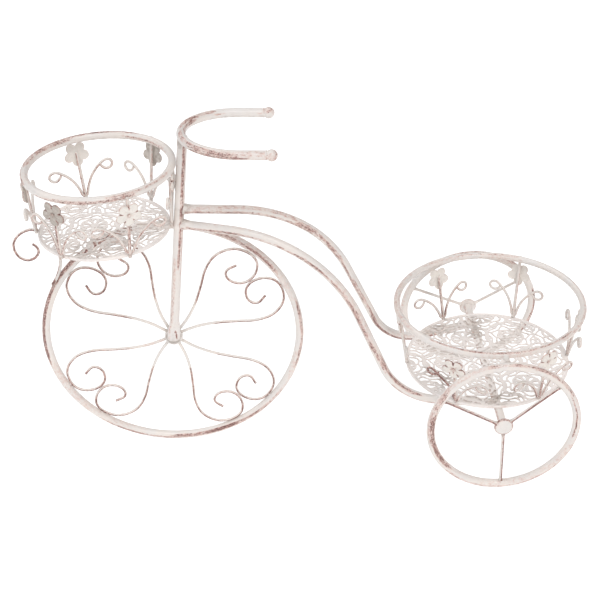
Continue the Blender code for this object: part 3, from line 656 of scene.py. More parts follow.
# ---------------------------------------------------------------- frame tubes
for name, tube, wear_list in (
        ("far", TUBE_FAR, (
            (side(-0.2, -0.9, 46), 24, 0.70, ((0.050, -0.008, 0.413), (0.127, 0.014, 0.395), (0.200, 0.034, 0.358)), 0.016),
            (side(-0.6, -0.5, 14), 26, 0.76, ((0.206, 0.036, 0.353), (0.262, 0.051, 0.300)), 0.015),
            (side(-0.5, 0.6, 14), 22, 0.60, ((0.180, 0.030, 0.366), (0.225, 0.040, 0.342)), 0.012),
            (side(-0.9, -0.4, 34), 22, 0.78, ((0.255, 0.050, 0.303), (0.292, 0.059, 0.225)), 0.016),
            (side(-0.9, -0.4, 12), 26, 0.74, ((0.288, 0.058, 0.236), (0.312, 0.064, 0.178)), 0.015),
            (side(-0.3, -0.9, 52), 30, 1.0, ((0.321, 0.067, 0.155), (0.352, 0.076, 0.127), (0.385, 0.085, 0.115)), 0.016),
            (side(0.4, 0.8, 30), 35, 0.55, ((0.10, 0.006, 0.40), (0.17, 0.026, 0.375)), 0.016))),
        ("near", TUBE_NEAR, (
            (side(0.0, -1.0, 48), 24, 0.78, ((0.045, -0.016, 0.392), (0.100, -0.028, 0.392)), 0.014),
            (side(-0.3, -0.9, 46), 20, 0.64, ((0.10, -0.028, 0.393), (0.225, -0.054, 0.340)), 0.015),
            (side(-0.6, -0.7, 34), 24, 0.84, ((0.205, -0.052, 0.345), (0.262, -0.061, 0.285), (0.300, -0.069, 0.215)), 0.015),
            (side(-0.7, -0.5, 18), 26, 0.78, ((0.280, -0.065, 0.252), (0.318, -0.073, 0.178)), 0.014),
            (side(0.5, 0.8, 22), 28, 0.82, ((0.318, -0.073, 0.172), (0.333, -0.076, 0.148), (0.348, -0.079, 0.132)), 0.013),
            (side(-0.4, -0.8, 60), 24, 0.62, ((0.340, -0.077, 0.140), (0.440, -0.098, 0.112)), 0.014),
            (side(0.5, 0.8, 12), 30, 0.45, ((0.240, -0.056, 0.315), (0.300, -0.069, 0.215)), 0.015)))):
    flat_path = np.array([(p[0], p[1]) for p in bent_path(tube["path"])])
    run_in = (flat_path[1] - flat_path[0]) / np.linalg.norm(flat_path[1] - flat_path[0])
    flat_path[0] -= run_in * 0.0035
    flat_path = resample(flat_path, 0.0032)
    path = np.array([(x, POST_Y + tube["slope"] * (x - tube["start_x"]), z) for x, z in flat_path])
    run = np.arange(len(path)) * 0.0032
    radius = FRAME_R + 0.0016 * np.exp(-((run - 0.004) / 0.0055) ** 2) * (run < 0.02)
    piece = Shape().sweep(path, radius, 32)
    make(f"frame_tube_{name}_painted", piece, [f"frame_tube_{name}"], "tube_paint", TUBE_PAINT, seed=61 + len(name),
         general=0.40, streaks=wear_list)

# ---------------------------------------------------------------- rear wheels and axle
for where, sign in (("near", -1), ("far", 1)):
    lean = FAR_LEAN if sign > 0 else 0.0
    y = sign * REAR_Y

    def wheel_point(r, a):
        return np.array((REAR_X + r * cos(a), y - r * sin(a) * sin(lean),
                         REAR_HOOP_R * cos(lean) + TUBE_R + r * sin(a) * cos(lean)))

    add_joint((REAR_X, y, REAR_HUB_Z + REAR_HUB_R), 0.004, 0.4)
    for angle in REAR_SPOKES[where]:
        for r in (REAR_HUB_R + 0.001, REAR_HOOP_R - TUBE_R):
            add_joint(wheel_point(r, radians(angle)), 0.0045, 0.60 if sign < 0 else 0.40)
    a = np.arange(180) * 2 * pi / 180
    seam = np.abs(((a - radians(275) + pi) % (2 * pi)) - pi) * REAR_HOOP_R
    radius = TUBE_R - 0.00035 * np.exp(-(seam / 0.0016) ** 2)
    add_joint(wheel_point(REAR_HOOP_R, radians(275)), 0.005, 0.5)
    ring = Shape().sweep([wheel_point(REAR_HOOP_R, turn) for turn in a], radius, 32, True, ref=(1, 0, 0))

    def arc(start, end):
        return [wheel_point(REAR_HOOP_R, radians(turn)) for turn in np.linspace(start, end, 7)]

    if sign < 0:
        streaks = ((side(0.3, 0.9, 20), 30, 0.68, arc(92, 38), 0.014),
                   (side(-0.3, 0.3, 12), 55, 0.66, arc(180, 150), 0.014),
                   (side(0.9, 0.1, 18), 40, 0.90, arc(212, 172), 0.013),
                   (side(-0.5, 0.6, 30), 40, 0.52, arc(150, 100), 0.014),
                   (side(-0.6, 0.0, 14), 15, 0.90, arc(20, -4), 0.010),
                   (side(0.7, 0.7, 45), 30, 0.50, arc(36, -30), 0.014),
                   (side(0.3, -0.9, 55), 26, 0.60, arc(-40, -80), 0.014),
                   (side(-0.3, -0.9, 50), 28, 0.56, arc(230, 265), 0.014))
    else:
        streaks = ((side(1.0, 0.0, 28), 32, 0.90, arc(6, -16), 0.014),
                   (side(0.2, 0.9, 30), 40, 0.60, arc(110, 60), 0.014),
                   (side(-0.9, 0.1, 40), 40, 0.40, arc(200, 160), 0.014))
        ring.bead((REAR_X, 0.1443, 0.2199), 0.0040, (0, 0.924, -0.383), 0.85, 5, 16)
    make(f"rear_hoop_{where}_painted", ring, [f"rear_hoop_{where}"], "tube_paint", TUBE_PAINT, seed=71 + sign,
         general=0.38, streaks=streaks)
    t = REAR_HUB_T / 2
    cap = Shape()
    cap.turned([(0.0, -t + 0.0004), (0.0035, -t + 0.0002), (0.0088, -t), (0.0110, -t), (0.0124, -t + 0.0003),
                (REAR_HUB_R - 0.0004, -t + 0.0009), (REAR_HUB_R, -t + 0.0018), (REAR_HUB_R, t - 0.0018),
                (REAR_HUB_R - 0.0004, t - 0.0009), (0.0124, t - 0.0003), (0.0110, t), (0.0088, t),
                (0.0035, t - 0.0002), (0.0, t - 0.0004)], (REAR_X, y, REAR_HUB_Z), (0, 1, 0), 48,
               extra=np.array((0, 0, 0.05, 0.25, 0.6, 0.84, 0.7, 0.7, 0.84, 0.6, 0.25, 0.05, 0, 0)) * (1.0 if sign < 0 else 0.5))
    make(f"rear_hub_{where}_painted", cap, [f"rear_hub_{where}"], "tube_paint", TUBE_PAINT, seed=75 + sign, general=0.4)
    for number, angle in enumerate(REAR_SPOKES[where], 1):
        run = np.linspace(REAR_HUB_R - 0.0008, REAR_HOOP_R - TUBE_R + 0.0006, 40)
        path = np.array([wheel_point(r, radians(angle)) for r in run])
        radius = STEM_R + 0.0010 * np.exp(-((run - run[0]) / 0.0028) ** 2) + 0.0010 * np.exp(-((run[-1] - run) / 0.0030) ** 2)
        make(f"rear_spoke_{where}_{number}_painted", Shape().sweep(path, radius, 18, ref=(0, -1, 0)),
             [f"rear_spoke_{where}_{number}"], "wire_paint", WIRE_PAINT, seed=80 + number + 4 * sign, general=0.5,
             streaks=((side(0.0 if number < 3 else 1.0, -1.0 if number < 3 else 0.0, 48), 66, 1.1 if sign < 0 else 0.25,
                       path[9:40:5], 0.014),))
    add_joint((REAR_X, POST_Y + (TUBE_FAR if sign > 0 else TUBE_NEAR)["slope"] * (REAR_X - 0.0304), REAR_HUB_Z), 0.011, 0.7)

rim_side, hoop_side = REAR_RIM["r"] + REAR_RIM["bar"] - 0.0008, REAR_Y - TUBE_R + 0.0008
path = np.array([(0.4757, -(rim_side + (hoop_side - rim_side) * k / 12), 0.2203) for k in range(13)])
flare = np.abs(np.linspace(-1, 1, 13))
make("rim_tab_near_painted", Shape().sweep(path, 0.0036 + 0.0012 * flare ** 4, 18, ref=(0, 0, 1)),
     ["rim_tab_near"], "wire_paint", WIRE_PAINT, seed=87, general=0.2)

half = REAR_Y - REAR_HUB_T / 2 - GAP
ys = np.linspace(-half, half, 80)
radius = TUBE_R + 0.0009 * np.exp(-((half - np.abs(ys)) / 0.003) ** 2)
make("rear_axle_painted", Shape().sweep([(REAR_X, y, REAR_HUB_Z) for y in ys], radius, 28, ref=(0, 0, 1)), ["rear_axle"],
     "tube_paint", TUBE_PAINT, seed=91, general=0.50, streaks=((side(-1.0, -0.2, 62), 40, 0.66, None, None),))

# ---------------------------------------------------------------- pierced plates


def contours(values, x0, y0, step):
    """Closed outlines of the areas above zero, run with the area on the left."""
    ny, nx = values.shape
    inside = values > 0
    code = (inside[:-1, :-1] * 1 + inside[:-1, 1:] * 2 + inside[1:, 1:] * 4 + inside[1:, :-1] * 8)
    follow = {}
    pairs = {1: ((0, 3),), 2: ((1, 0),), 3: ((1, 3),), 4: ((2, 1),), 5: ((0, 3), (2, 1)), 6: ((2, 0),), 7: ((2, 3),),
             8: ((3, 2),), 9: ((0, 2),), 10: ((1, 0), (3, 2)), 11: ((1, 2),), 12: ((3, 1),), 13: ((0, 1),), 14: ((3, 0),)}
    rows, cols = np.nonzero((code > 0) & (code < 15))
    for j, i in zip(rows.tolist(), cols.tolist()):
        edges = ((j * nx + i) * 2, (j * nx + i + 1) * 2 + 1, ((j + 1) * nx + i) * 2, (j * nx + i) * 2 + 1)
        for a, b in pairs[int(code[j, i])]:
            follow[edges[a]] = edges[b]

    def point(edge):
        j, i = divmod(edge // 2, nx)
        j2, i2 = (j + 1, i) if edge % 2 else (j, i + 1)
        a, b = values[j, i], values[j2, i2]
        t = a / (a - b)
        return x0 + step * (i + t * (i2 - i)), y0 + step * (j + t * (j2 - j))

    loops = []
    while follow:
        start, here = follow.popitem()
        loop = [start]
        while here != start:
            loop.append(here)
            here = follow.pop(here)
        loops.append(np.array([point(e) for e in loop]))
    return loops


class Lattice:
    """An openwork pattern, in millimetres: each opening is a bent leaf, and a bar stays between any two."""

    def __init__(self, radius, step=0.75, bar=2.7):
        self.step, self.bar, self.radius = step, bar, radius
        n = int(2 * (radius + 2) / step) + 1
        self.x0 = -(radius + 2)
        axis = self.x0 + np.arange(n) * step
        x, y = np.meshgrid(axis, axis)
        self.x = x + 1.3 * np.sin(y / 9.3 + 0.7) + 1.2 * np.sin(x / 13.1 + y / 17.3)
        self.y = y + 1.5 * np.sin(x / 10.9 + 2.1) + 1.2 * np.sin(y / 14.7 - x / 16.1)
        self.true_x, self.true_y = x, y
        self.first = np.full((n, n), -9.0)
        self.second = np.full((n, n), -9.0)
        self.keep = np.zeros((n, n), bool)

    def window(self, cx, cy, reach):
        n = len(self.x)
        lo = lambda c: min(n - 1, max(0, int((c - reach - 3 - self.x0) / self.step)))
        hi = lambda c: max(1, min(n, int((c + reach + 3 - self.x0) / self.step) + 2))
        return slice(lo(cy), hi(cy)), slice(lo(cx), hi(cx))

    def put(self, where, value):
        first, second = self.first[where], self.second[where]
        higher = value > first
        second[...] = np.where(higher, first, np.maximum(second, value))
        first[...] = np.where(higher, value, first)

    def leaf(self, cx, cy, angle, length, width, bend=0.0, tear=0.0, blunt=0.6):
        """Half length and half width; bend bows it sideways and tear swells its far end."""
        if hypot(cx, cy) > self.radius + length:
            return
        where = self.window(cx, cy, length + 7)
        x, y = self.x[where] - cx, self.y[where] - cy
        u = x * cos(angle) + y * sin(angle)
        v = -x * sin(angle) + y * cos(angle)
        t = u / length
        body = np.clip(1 - t * t, 0, 1)
        w = width * body ** blunt * (1 + tear * np.clip(t, -1, 1))
        v = v - bend * (1 - np.clip(t * t, 0, 1.5))
        value = np.where(np.abs(t) < 1, w - np.abs(v), -(np.abs(t) - 1) * length - np.abs(v))
        self.put(where, value)

    def star(self, cx, cy, size, power=0.75, angle=0.0):
        where = self.window(cx, cy, size + 7)
        x, y = self.x[where] - cx, self.y[where] - cy
        u = np.abs(x * cos(angle) + y * sin(angle))
        v = np.abs(-x * sin(angle) + y * cos(angle))
        self.put(where, size - (u ** power + v ** power) ** (1 / power))

    def solid(self, cx, cy, radius):
        """A place that stays metal, clear of the filling."""
        where = self.window(cx, cy, radius)
        inside = np.hypot(self.x[where] - cx, self.y[where] - cy) < radius
        self.keep[where] |= inside

    def polar(self, cx, cy, r, a, angle, *more, **others):
        self.leaf(cx + r * cos(a), cy + r * sin(a), angle, *more, **others)

    # motifs
    def daisy(self, cx, cy, s=1.0, turn=0.0):
        self.star(cx, cy, 2.7 * s, 1.4, pi / 4 + turn)
        for k in range(8):
            a = turn + k * pi / 4 + pi / 8
            self.polar(cx, cy, 6.3 * s, a, a + pi / 2, 2.0 * s, 1.55 * s, blunt=0.5)
            a = turn + k * pi / 4
            self.polar(cx, cy, 11.6 * s, a, a + pi / 2, 4.0 * s, 1.6 * s, bend=-0.8 * s)

    def sun(self, cx, cy, s=1.0, turn=0.0, rays=9):
        self.solid(cx, cy, 4.5 * s)
        for k in range(rays):
            a = turn + k * 2 * pi / rays
            self.polar(cx, cy, 9.3 * s, a, a, 5.0 * s, 1.55 * s, tear=0.45)
            b = a + pi / rays
            self.polar(cx, cy, 15.2 * s, b, b + pi / 2, 2.4 * s, 1.3 * s, bend=0.8 * s)

    def horns(self, cx, cy, s=1.0, turn=0.0):
        """A solid disc on two necks between two large horned openings."""
        self.solid(cx, cy, 4.2 * s)
        for side in (1, -1):
            a = turn + side * pi / 2
            self.polar(cx, cy, 6.4 * s, a, a - pi / 2, 7.2 * s, 2.5 * s, bend=-2.4 * s, blunt=0.7)
            for k in (1, -1):
                b = a + k * 0.62
                self.polar(cx, cy, 12.0 * s, b, b, 3.2 * s, 1.3 * s, tear=-0.3)
        for side in (1, -1):
            a = turn + (0 if side > 0 else pi)
            for k in (-1, 0, 1):
                self.polar(cx, cy, 11.0 * s, a + k * 0.30, a + k * 0.10, 4.0 * s, 1.05 * s, bend=0.8 * s * k)

    def divide(self, centres):
        """Every point belongs to its nearest centre; borders holds how far each centre's area goes on."""
        away = np.array([np.hypot(self.x - cx, self.y - cy) for cx, cy in centres])
        nearest = np.sort(away, axis=0)[:2]
        self.borders = [np.where(d <= nearest[0] + 1e-9, (nearest[1] - d) / 2, (nearest[0] - d) / 2) - self.bar / 2
                        for d in away]

    def ripples(self, k, cx, cy, first, pitch, slot, waves, height, turn=0.0, length=15.0):
        """Broken wavy rings round a motif, out to the border of its area."""
        x, y = self.x - cx, self.y - cy
        r = np.hypot(x, y)
        a = np.arctan2(y, x) - turn
        rr = r + height * smooth01((r - first) / 9) * np.cos(waves * a)
        q = (rr - first) / pitch
        ring = np.floor(q)
        across = (q - ring - 0.5) * pitch
        middle = first + (ring + 0.5) * pitch
        cuts = waves * np.maximum(1, np.round(2 * pi * middle / (waves * length)))
        turned = (a * cuts / (2 * pi) + 0.5 * (ring % 2)) % 1
        along = (0.5 - np.abs(turned - 0.5)) * 2 * pi * r / cuts
        value = np.minimum.reduce([slot / 2 - np.abs(across), along - self.bar / 2, self.borders[k]])
        self.put((slice(None), slice(None)), np.where(q < 0, rr - first - 0.5, value))

    def fill(self, least=1.6, most=5.5):
        """Small openings wherever a wide piece of sheet is still whole."""
        self.first[:] = np.where(self.keep & (self.first < 0), np.maximum(self.first, -0.6), self.first)
        edge = self.radius - np.hypot(self.true_x, self.true_y)
        for k in range(400):
            room = np.minimum(-self.first - self.bar, edge - 0.6)
            j, i = np.unravel_index(room.argmax(), room.shape)
            r = room[j, i]
            if r < least:
                break
            r = min(r, most)
            cx, cy = self.x[j, i], self.y[j, i]
            angle = atan2(cy, cx) + (k % 3) * 0.9
            if r > 2.4 and k % 2:
                self.star(cx, cy, r * 1.3, 1.0, angle)
            else:
                self.leaf(cx, cy, angle, r * 1.3, r * 0.95, blunt=0.5)

    def openings(self):
        edge = self.radius - np.hypot(self.true_x, self.true_y)
        value = np.minimum(self.first, (self.first - self.second) / 2 - self.bar / 2)
        value = np.minimum(value, edge)
        loops = []
        for loop in contours(value, self.x0, self.x0, self.step):
            nxt = np.roll(loop, -1, 0)
            area = 0.5 * np.sum(loop[:, 0] * nxt[:, 1] - nxt[:, 0] * loop[:, 1])
            if area < 2.0:
                continue
            for _ in range(5):
                loop = 0.25 * np.roll(loop, 1, 0) + 0.5 * loop + 0.25 * np.roll(loop, -1, 0)
            kept = [loop[0]]
            for p in loop[1:]:
                if np.hypot(*(p - kept[-1])) > 0.72:
                    kept.append(p)
            if len(kept) > 4:
                loops.append(np.array(kept))
        return loops


def pierced_plate(name, node, plate, design, lip, seed, stains):
    """A stamped openwork sheet whose border is turned down to a lip."""
    radius = plate["r"]
    inner = radius - 0.0052
    pattern = Lattice(inner * 1000 - 0.3)
    design(pattern)
    pattern.fill()
    loops = pattern.openings()
    bevel = 0.00016
    curve = bpy.data.curves.new(name, "CURVE")
    curve.dimensions = "2D"
    curve.fill_mode = "BOTH"
    curve.extrude = PLATE_T / 2 - bevel
    curve.bevel_depth = bevel
    curve.bevel_resolution = 0
    curve.offset = -bevel
    border = circle((0, 0, 0), (inner + 0.0003) * 1000, 220, False)[:, :2]
    for loop in [border] + loops:
        spline = curve.splines.new("POLY")
        spline.points.add(len(loop) - 1)
        spline.points.foreach_set("co", np.column_stack([loop / 1000, np.zeros(len(loop)), np.ones(len(loop))]).ravel())
        spline.use_cyclic_u = True
    flat = bpy.data.objects.new(name + "_flat", curve)
    bpy.context.scene.collection.objects.link(flat)
    bpy.context.view_layer.update()
    sheet = bpy.data.meshes.new_from_object(flat.evaluated_get(bpy.context.evaluated_depsgraph_get()))
    bpy.data.objects.remove(flat, do_unlink=True)
    n = len(sheet.vertices)
    co = np.empty(n * 3, np.float32)
    sheet.vertices.foreach_get("co", co)
    co = co.reshape(-1, 3).astype(float)
    co += (plate["x"], plate["y"], plate["z"] + PLATE_T / 2)
    shape = Shape()
    shape.add(co, [tuple(p.vertices) for p in sheet.polygons])
    bpy.data.meshes.remove(sheet)
    # the border: flat, then rolled over the edge and down
    r, z = radius, PLATE_T
    shape_profile = [(inner - 0.0002, z - 0.0003), (inner, z - 0.00005), (inner + 0.0004, z + 0.0001), (r - 0.0030, z + 0.0001),
                     (r - 0.0024, z + 0.0007), (r - 0.0016, z + 0.0010), (r - 0.0008, z + 0.0007), (r - 0.0002, z - 0.0001),
                     (r, z - 0.0010), (r, -lip + 0.0003), (r - 0.0003, -lip), (r - 0.0007, -lip), (r - 0.0010, -lip + 0.0003),
                     (r - 0.0011, -0.0004), (r - 0.0016, 0.0), (inner + 0.0004, 0.0), (inner - 0.0002, 0.0003)]
    segments = 180
    a = np.arange(segments) * 2 * pi / segments
    rings = []
    centre = np.array((plate["x"], plate["y"], plate["z"]))
    for pr, ph in shape_profile:
        rings.append(centre + np.stack([pr * np.cos(a), pr * np.sin(a), np.full(segments, ph)], 1))
    m = segments
    count = len(rings)
    faces = []
    for i in range(count):
        j = (i + 1) % count
        for k in range(m):
            l = (k + 1) % m
            faces.append((i * m + k, j * m + k, j * m + l, i * m + l))
    shape.add(np.concatenate(rings), faces)
    co = np.concatenate(shape.co)
    # the walls of the openings get rubbing and painted shade
    edge = 0.50 * (np.hypot(co[:, 0] - plate["x"], co[:, 1] - plate["y"]) < inner - 0.0003)
    return make(name, shape, [node], "plate_paint", PLATE_PAINT, seed=seed, general=0.36, edge=edge, smooth=35, stains=stains)


def openwork(p, s, ox, oy, first):
    """Daisies, suns and horned discs in a staggered grid, each in its own area of wavy slots."""
    dx, dy = 66 * s, 57 * s
    spots = [(dx * i + dx / 2 * (j % 2) + ox, dy * j + oy, (i + 2 * j + first) % 3)
             for j in range(-4, 5) for i in range(-4, 5)]
    spots = [spot for spot in spots if hypot(spot[0], spot[1]) < p.radius + 45]
    p.divide([spot[:2] for spot in spots])
    for k, (cx, cy, kind) in enumerate(spots):
        if kind == 0:
            p.daisy(cx, cy, 1.30 * s)
            p.ripples(k, cx, cy, 19.8 * s, 7.0 * s, 4.2 * s, 8, 2.4 * s, pi / 8, 21.0 * s)
        elif kind == 1:
            p.sun(cx, cy, 1.20 * s, pi / 2, 8)
            p.ripples(k, cx, cy, 18.5 * s, 7.0 * s, 4.2 * s, 6, 3.0 * s, 0.0, 19.0 * s)
        else:
            p.horns(cx, cy, 1.30 * s, 0.0)
            p.ripples(k, cx, cy, 17.2 * s, 7.0 * s, 4.2 * s, 7, 2.8 * s, 0.5, 18.0 * s)


def rear_design(p):
    openwork(p, 1.10, 12.0, -8.0, 0)


def front_design(p):
    openwork(p, 1.02, -14.0, 6.0, 1)


# ---------------------------------------------------------------- flowers
def flower_shape(matrix, seed, outline=1.0):
    """Five full round petals, each pressed to a low dome with a crease, and a rivet in the middle."""
    shape = Shape()
    columns, long, broad = 120, 0.425, 0.395
    d = 1 - long
    angles = np.arange(columns) * 2 * pi / columns - pi / 2
    delta = (angles + pi / 2 + pi / 5) % (2 * pi / 5) - pi / 5
    # each petal is an ellipse whose far end lies on the flower's circle
    qa = (np.cos(delta) / long) ** 2 + (np.sin(delta) / broad) ** 2
    qb = d * np.cos(delta) / long ** 2
    reach = (qb + np.sqrt(np.clip(qb ** 2 - qa * ((d / long) ** 2 - 1), 0, None))) / qa
    levels = (0.06, 0.14, 0.22, 0.31, 0.42, 0.54, 0.66, 0.77, 0.87, 0.94, 0.98, 1.0)
    top, low, worn = [], [], []
    for level in levels:
        r = reach * level
        x, y = r * np.cos(delta) - d, r * np.sin(delta)
        out = np.hypot(x / long, y / broad)
        dome = np.clip(1 - out ** 2.2, 0, 1)
        z = 0.00205 * dome ** 0.8
        z -= 0.00062 * np.exp(-(y * FLOWER_R / 0.0010) ** 2) * smooth01((r - 0.20) / 0.12) * smooth01((0.92 - r) / 0.2)
        z -= 0.0011 * smooth01((level - 0.93) / 0.07)
        flutter = 0.00035 * np.sin(angles * 3 + seed) * level ** 2
        points = np.stack([r * np.cos(angles) * FLOWER_R, r * np.sin(angles) * FLOWER_R, z + flutter - 0.0002], 1)
        under = points.copy()
        under[:, 2] = 0.45 * under[:, 2] - 0.00095
        under[:, :2] *= 0.985
        top.append(points)
        low.append(under)
        crease = 0.36 * np.exp(-(y * FLOWER_R / 0.0009) ** 2) * smooth01((0.60 - r) / 0.25)
        notch = 0.95 * smooth01((np.abs(delta) - radians(25)) / radians(10)) * smooth01((level - 0.50) / 0.3)
        rimmed = 0.62 * smooth01((level - 0.90) / 0.09)
        inner = 0.30 * smooth01((0.30 - r) / 0.1)
        worn.append(outline * np.maximum.reduce([crease, notch, rimmed * np.ones(columns), inner]))
    rings = low + top[::-1]
    wear = np.concatenate([np.full(columns, 0.02)] * (len(low) - 2) + [np.full(columns, 0.40)] * 2 + worn[::-1])
    n, m = len(rings), columns
    faces = []
    for i in range(n - 1):
        for k in range(m):
            l = (k + 1) % m
            faces.append((i * m + k, i * m + l, (i + 1) * m + l, (i + 1) * m + k))
    faces.append(tuple(range(m))[::-1])
    faces.append(tuple((n - 1) * m + k for k in range(m)))
    shape.add(np.concatenate(rings), faces, wear)
    # the rivet
    shape.turned([(0.0, -0.0016), (0.0014, -0.0016), (0.0016, -0.0012), (0.0016, 0.0004), (0.0023, 0.0005), (0.00235, 0.0010),
                  (0.0019, 0.0016), (0.0011, 0.0020), (0.0, 0.0021)], (0, 0, 0), (0, 0, 1), 20,
                 extra=np.array((0.5, 0.5, 0.5, 0.8, 0.8, 0.7, 0.62, 0.55, 0.5)))
    # a few drops of dirt and weld behind the middle join it to its stem
    shape.bead((0, 0, -0.0013), 0.0017, (0, 0, 1), 0.7, seed, 12, extra=0.3)
    for k, co in enumerate(shape.co):
        shape.co[k] = co @ np.array(matrix.to_3x3()).T + np.array(matrix.translation)
    return shape


def tendril(loop):
    hand = 1 if loop[0] > 0 else -1
    du, dv = hand * loop[0] - TENDRIL_LOOP[0], loop[1] - TENDRIL_LOOP[1]
    return [(hand * (u + du * min(1.0, k / 6)), v + dv * min(1.0, k / 6)) for k, (u, v) in enumerate(TENDRIL)]


def flower_sets(basket, plate, rim, sets, on_plate, seed):
    foot_z = plate["z"] + PLATE_T
    foot_r = plate["r"] - 0.0010 if on_plate else plate["r"] + GAP + STEM_R + 0.00005
    made = []
    for number, (name, azimuth, lean, sway, flower_h, top, left_loop, right_loop) in enumerate(sets):
        a = radians(azimuth)
        out = Vector((cos(a), sin(a), 0))
        side = Vector((-sin(a), cos(a), 0))
        foot = Vector((plate["x"], plate["y"], foot_z)) + out * foot_r
        run = Vector((0, 0, 1)) + out * lean + side * sway
        if top == "free":
            head = foot + run * (flower_h + 0.004)
        else:
            rise = (rim["z"] + 0.001 if top == "beside" else rim["z"] - rim["bar"] - 0.0008) - foot.z
            head = foot + run * rise
            for _ in range(4 if top == "beside" else 0):
                reach = hypot(head.x - rim["x"], head.y - rim["y"])
                head += out * (rim["r"] + rim["bar"] + STEM_R + 0.0005 - reach)
        up = (head - foot).normalized()
        foot_end = foot + up * 0.0003 if on_plate else foot - up * 0.0032
        face = (out - out.dot(up) * up).normalized()
        across = up.cross(face)
        tip = head + up * (0.0012 if top == "under" else 0.0)
        made.append((name, number, foot, foot_end, tip, top, up, face, across, flower_h, left_loop, right_loop, out))
        add_joint(foot + up * 0.001, 0.0050, 0.60)
        add_joint(foot + up * 0.006, 0.0045, 0.35)
        if top != "free":
            add_joint(head, 0.0050, 0.45)
    return made


front_sets = flower_sets("front", FRONT_PLATE, FRONT_RIM, FRONT_SETS, False, 200)
rear_sets = flower_sets("rear", REAR_PLATE, REAR_RIM, REAR_SETS, True, 300)
add_joint((STRUT[-1][0], STRUT_Y, STRUT[-1][1]), 0.006, 0.9)
add_joint((STRUT[0][0], STRUT_Y, STRUT[0][1]), 0.006, 0.7)
add_joint((CURL[0][0], CURL_Y, CURL[0][1]), 0.006, 0.7)
add_joint((-0.186, 0.0, 0.372), 0.006, 0.6)

UPWARD = (0, 0, 1)
pierced_plate("front_plate_pierced", "front_plate", FRONT_PLATE, front_design, 0.0022, 101, (
    (UPWARD, 80, 0.50, ((-0.095, -0.080, 0.394), (-0.060, -0.050, 0.394)), 0.020),
    (UPWARD, 80, 0.46, ((-0.020, -0.030, 0.394), (0.006, -0.020, 0.394)), 0.016)))
pierced_plate("rear_plate_pierced", "rear_plate", REAR_PLATE, rear_design, 0.0016, 102, (
    (UPWARD, 80, 0.62, ((0.481, 0.100, 0.120), (0.470, 0.070, 0.120)), 0.009),
    (UPWARD, 80, 0.52, ((0.401, 0.085, 0.120), (0.425, 0.083, 0.120)), 0.010),
    (UPWARD, 80, 0.62, ((0.472, -0.110, 0.120), (0.500, -0.100, 0.120)), 0.008),
    (UPWARD, 80, 0.58, ((0.386, -0.023, 0.120), (0.410, -0.060, 0.120)), 0.008),
    (UPWARD, 80, 0.36, ((0.504, 0.032, 0.120), (0.545, 0.070, 0.120)), 0.009)))


def rim_piece(name, node, rim, seam_deg, seed, streaks):
    a = np.arange(190) * 2 * pi / 190
    seam = np.abs(((a - radians(seam_deg) + pi) % (2 * pi)) - pi) * rim["r"]
    radius = rim["bar"] - 0.00032 * np.exp(-(seam / 0.0013) ** 2)
    add_joint((rim["x"] + rim["r"] * cos(radians(seam_deg)), rim["y"] + rim["r"] * sin(radians(seam_deg)), rim["z"]), 0.0045, 0.55)
    ring = Shape().sweep(circle((rim["x"], rim["y"], rim["z"]), rim["r"], 190, False), radius, 30, True, ref=(0, 0, 1))
    make(name, ring, [node], "tube_paint", TUBE_PAINT, seed=seed, general=0.38, streaks=streaks)


def arc(rim, start, end):
    return [(rim["x"] + rim["r"] * cos(radians(a)), rim["y"] + rim["r"] * sin(radians(a)), rim["z"])
            for a in np.linspace(start, end, 7)]


rim_piece("front_rim_painted", "front_rim", FRONT_RIM, -62, 111, (
    (side(0.0, -1.0, 32), 28, 0.72, arc(FRONT_RIM, -112, -68), 0.012),
    (side(0.0, 1.0, 8), 26, 0.60, arc(FRONT_RIM, -70, -30), 0.012),
    (side(-1.0, 0.0, 60), 34, 0.80, arc(FRONT_RIM, 196, 150), 0.012),
    (side(-0.4, 0.8, 18), 60, 0.76, arc(FRONT_RIM, 168, 128), 0.012),
    (side(0.0, 1.0, 52), 30, 0.82, arc(FRONT_RIM, 112, 70), 0.012),
    (side(0.2, -0.8, 30), 26, 0.74, arc(FRONT_RIM, 62, 26), 0.012),
    (side(-0.4, -0.7, 55), 28, 0.70, arc(FRONT_RIM, 230, 258), 0.012)))
rim_piece("rear_rim_painted", "rear_rim", REAR_RIM, -100, 112, (
    (side(0.0, 0.9, 34), 24, 0.74, arc(REAR_RIM, -128, -52), 0.012),
    (side(0.0, 1.0, 24), 24, 0.60, arc(REAR_RIM, 122, 66), 0.012),
    (side(-0.7, 0.5, 30), 46, 0.50, arc(REAR_RIM, 200, 140), 0.012),
    (side(0.6, 0.2, 24), 40, 0.48, arc(REAR_RIM, -45, 10), 0.012)))

def head_of(foot, tip):
    return np.array(foot) + 0.8 * (np.array(tip) - np.array(foot))


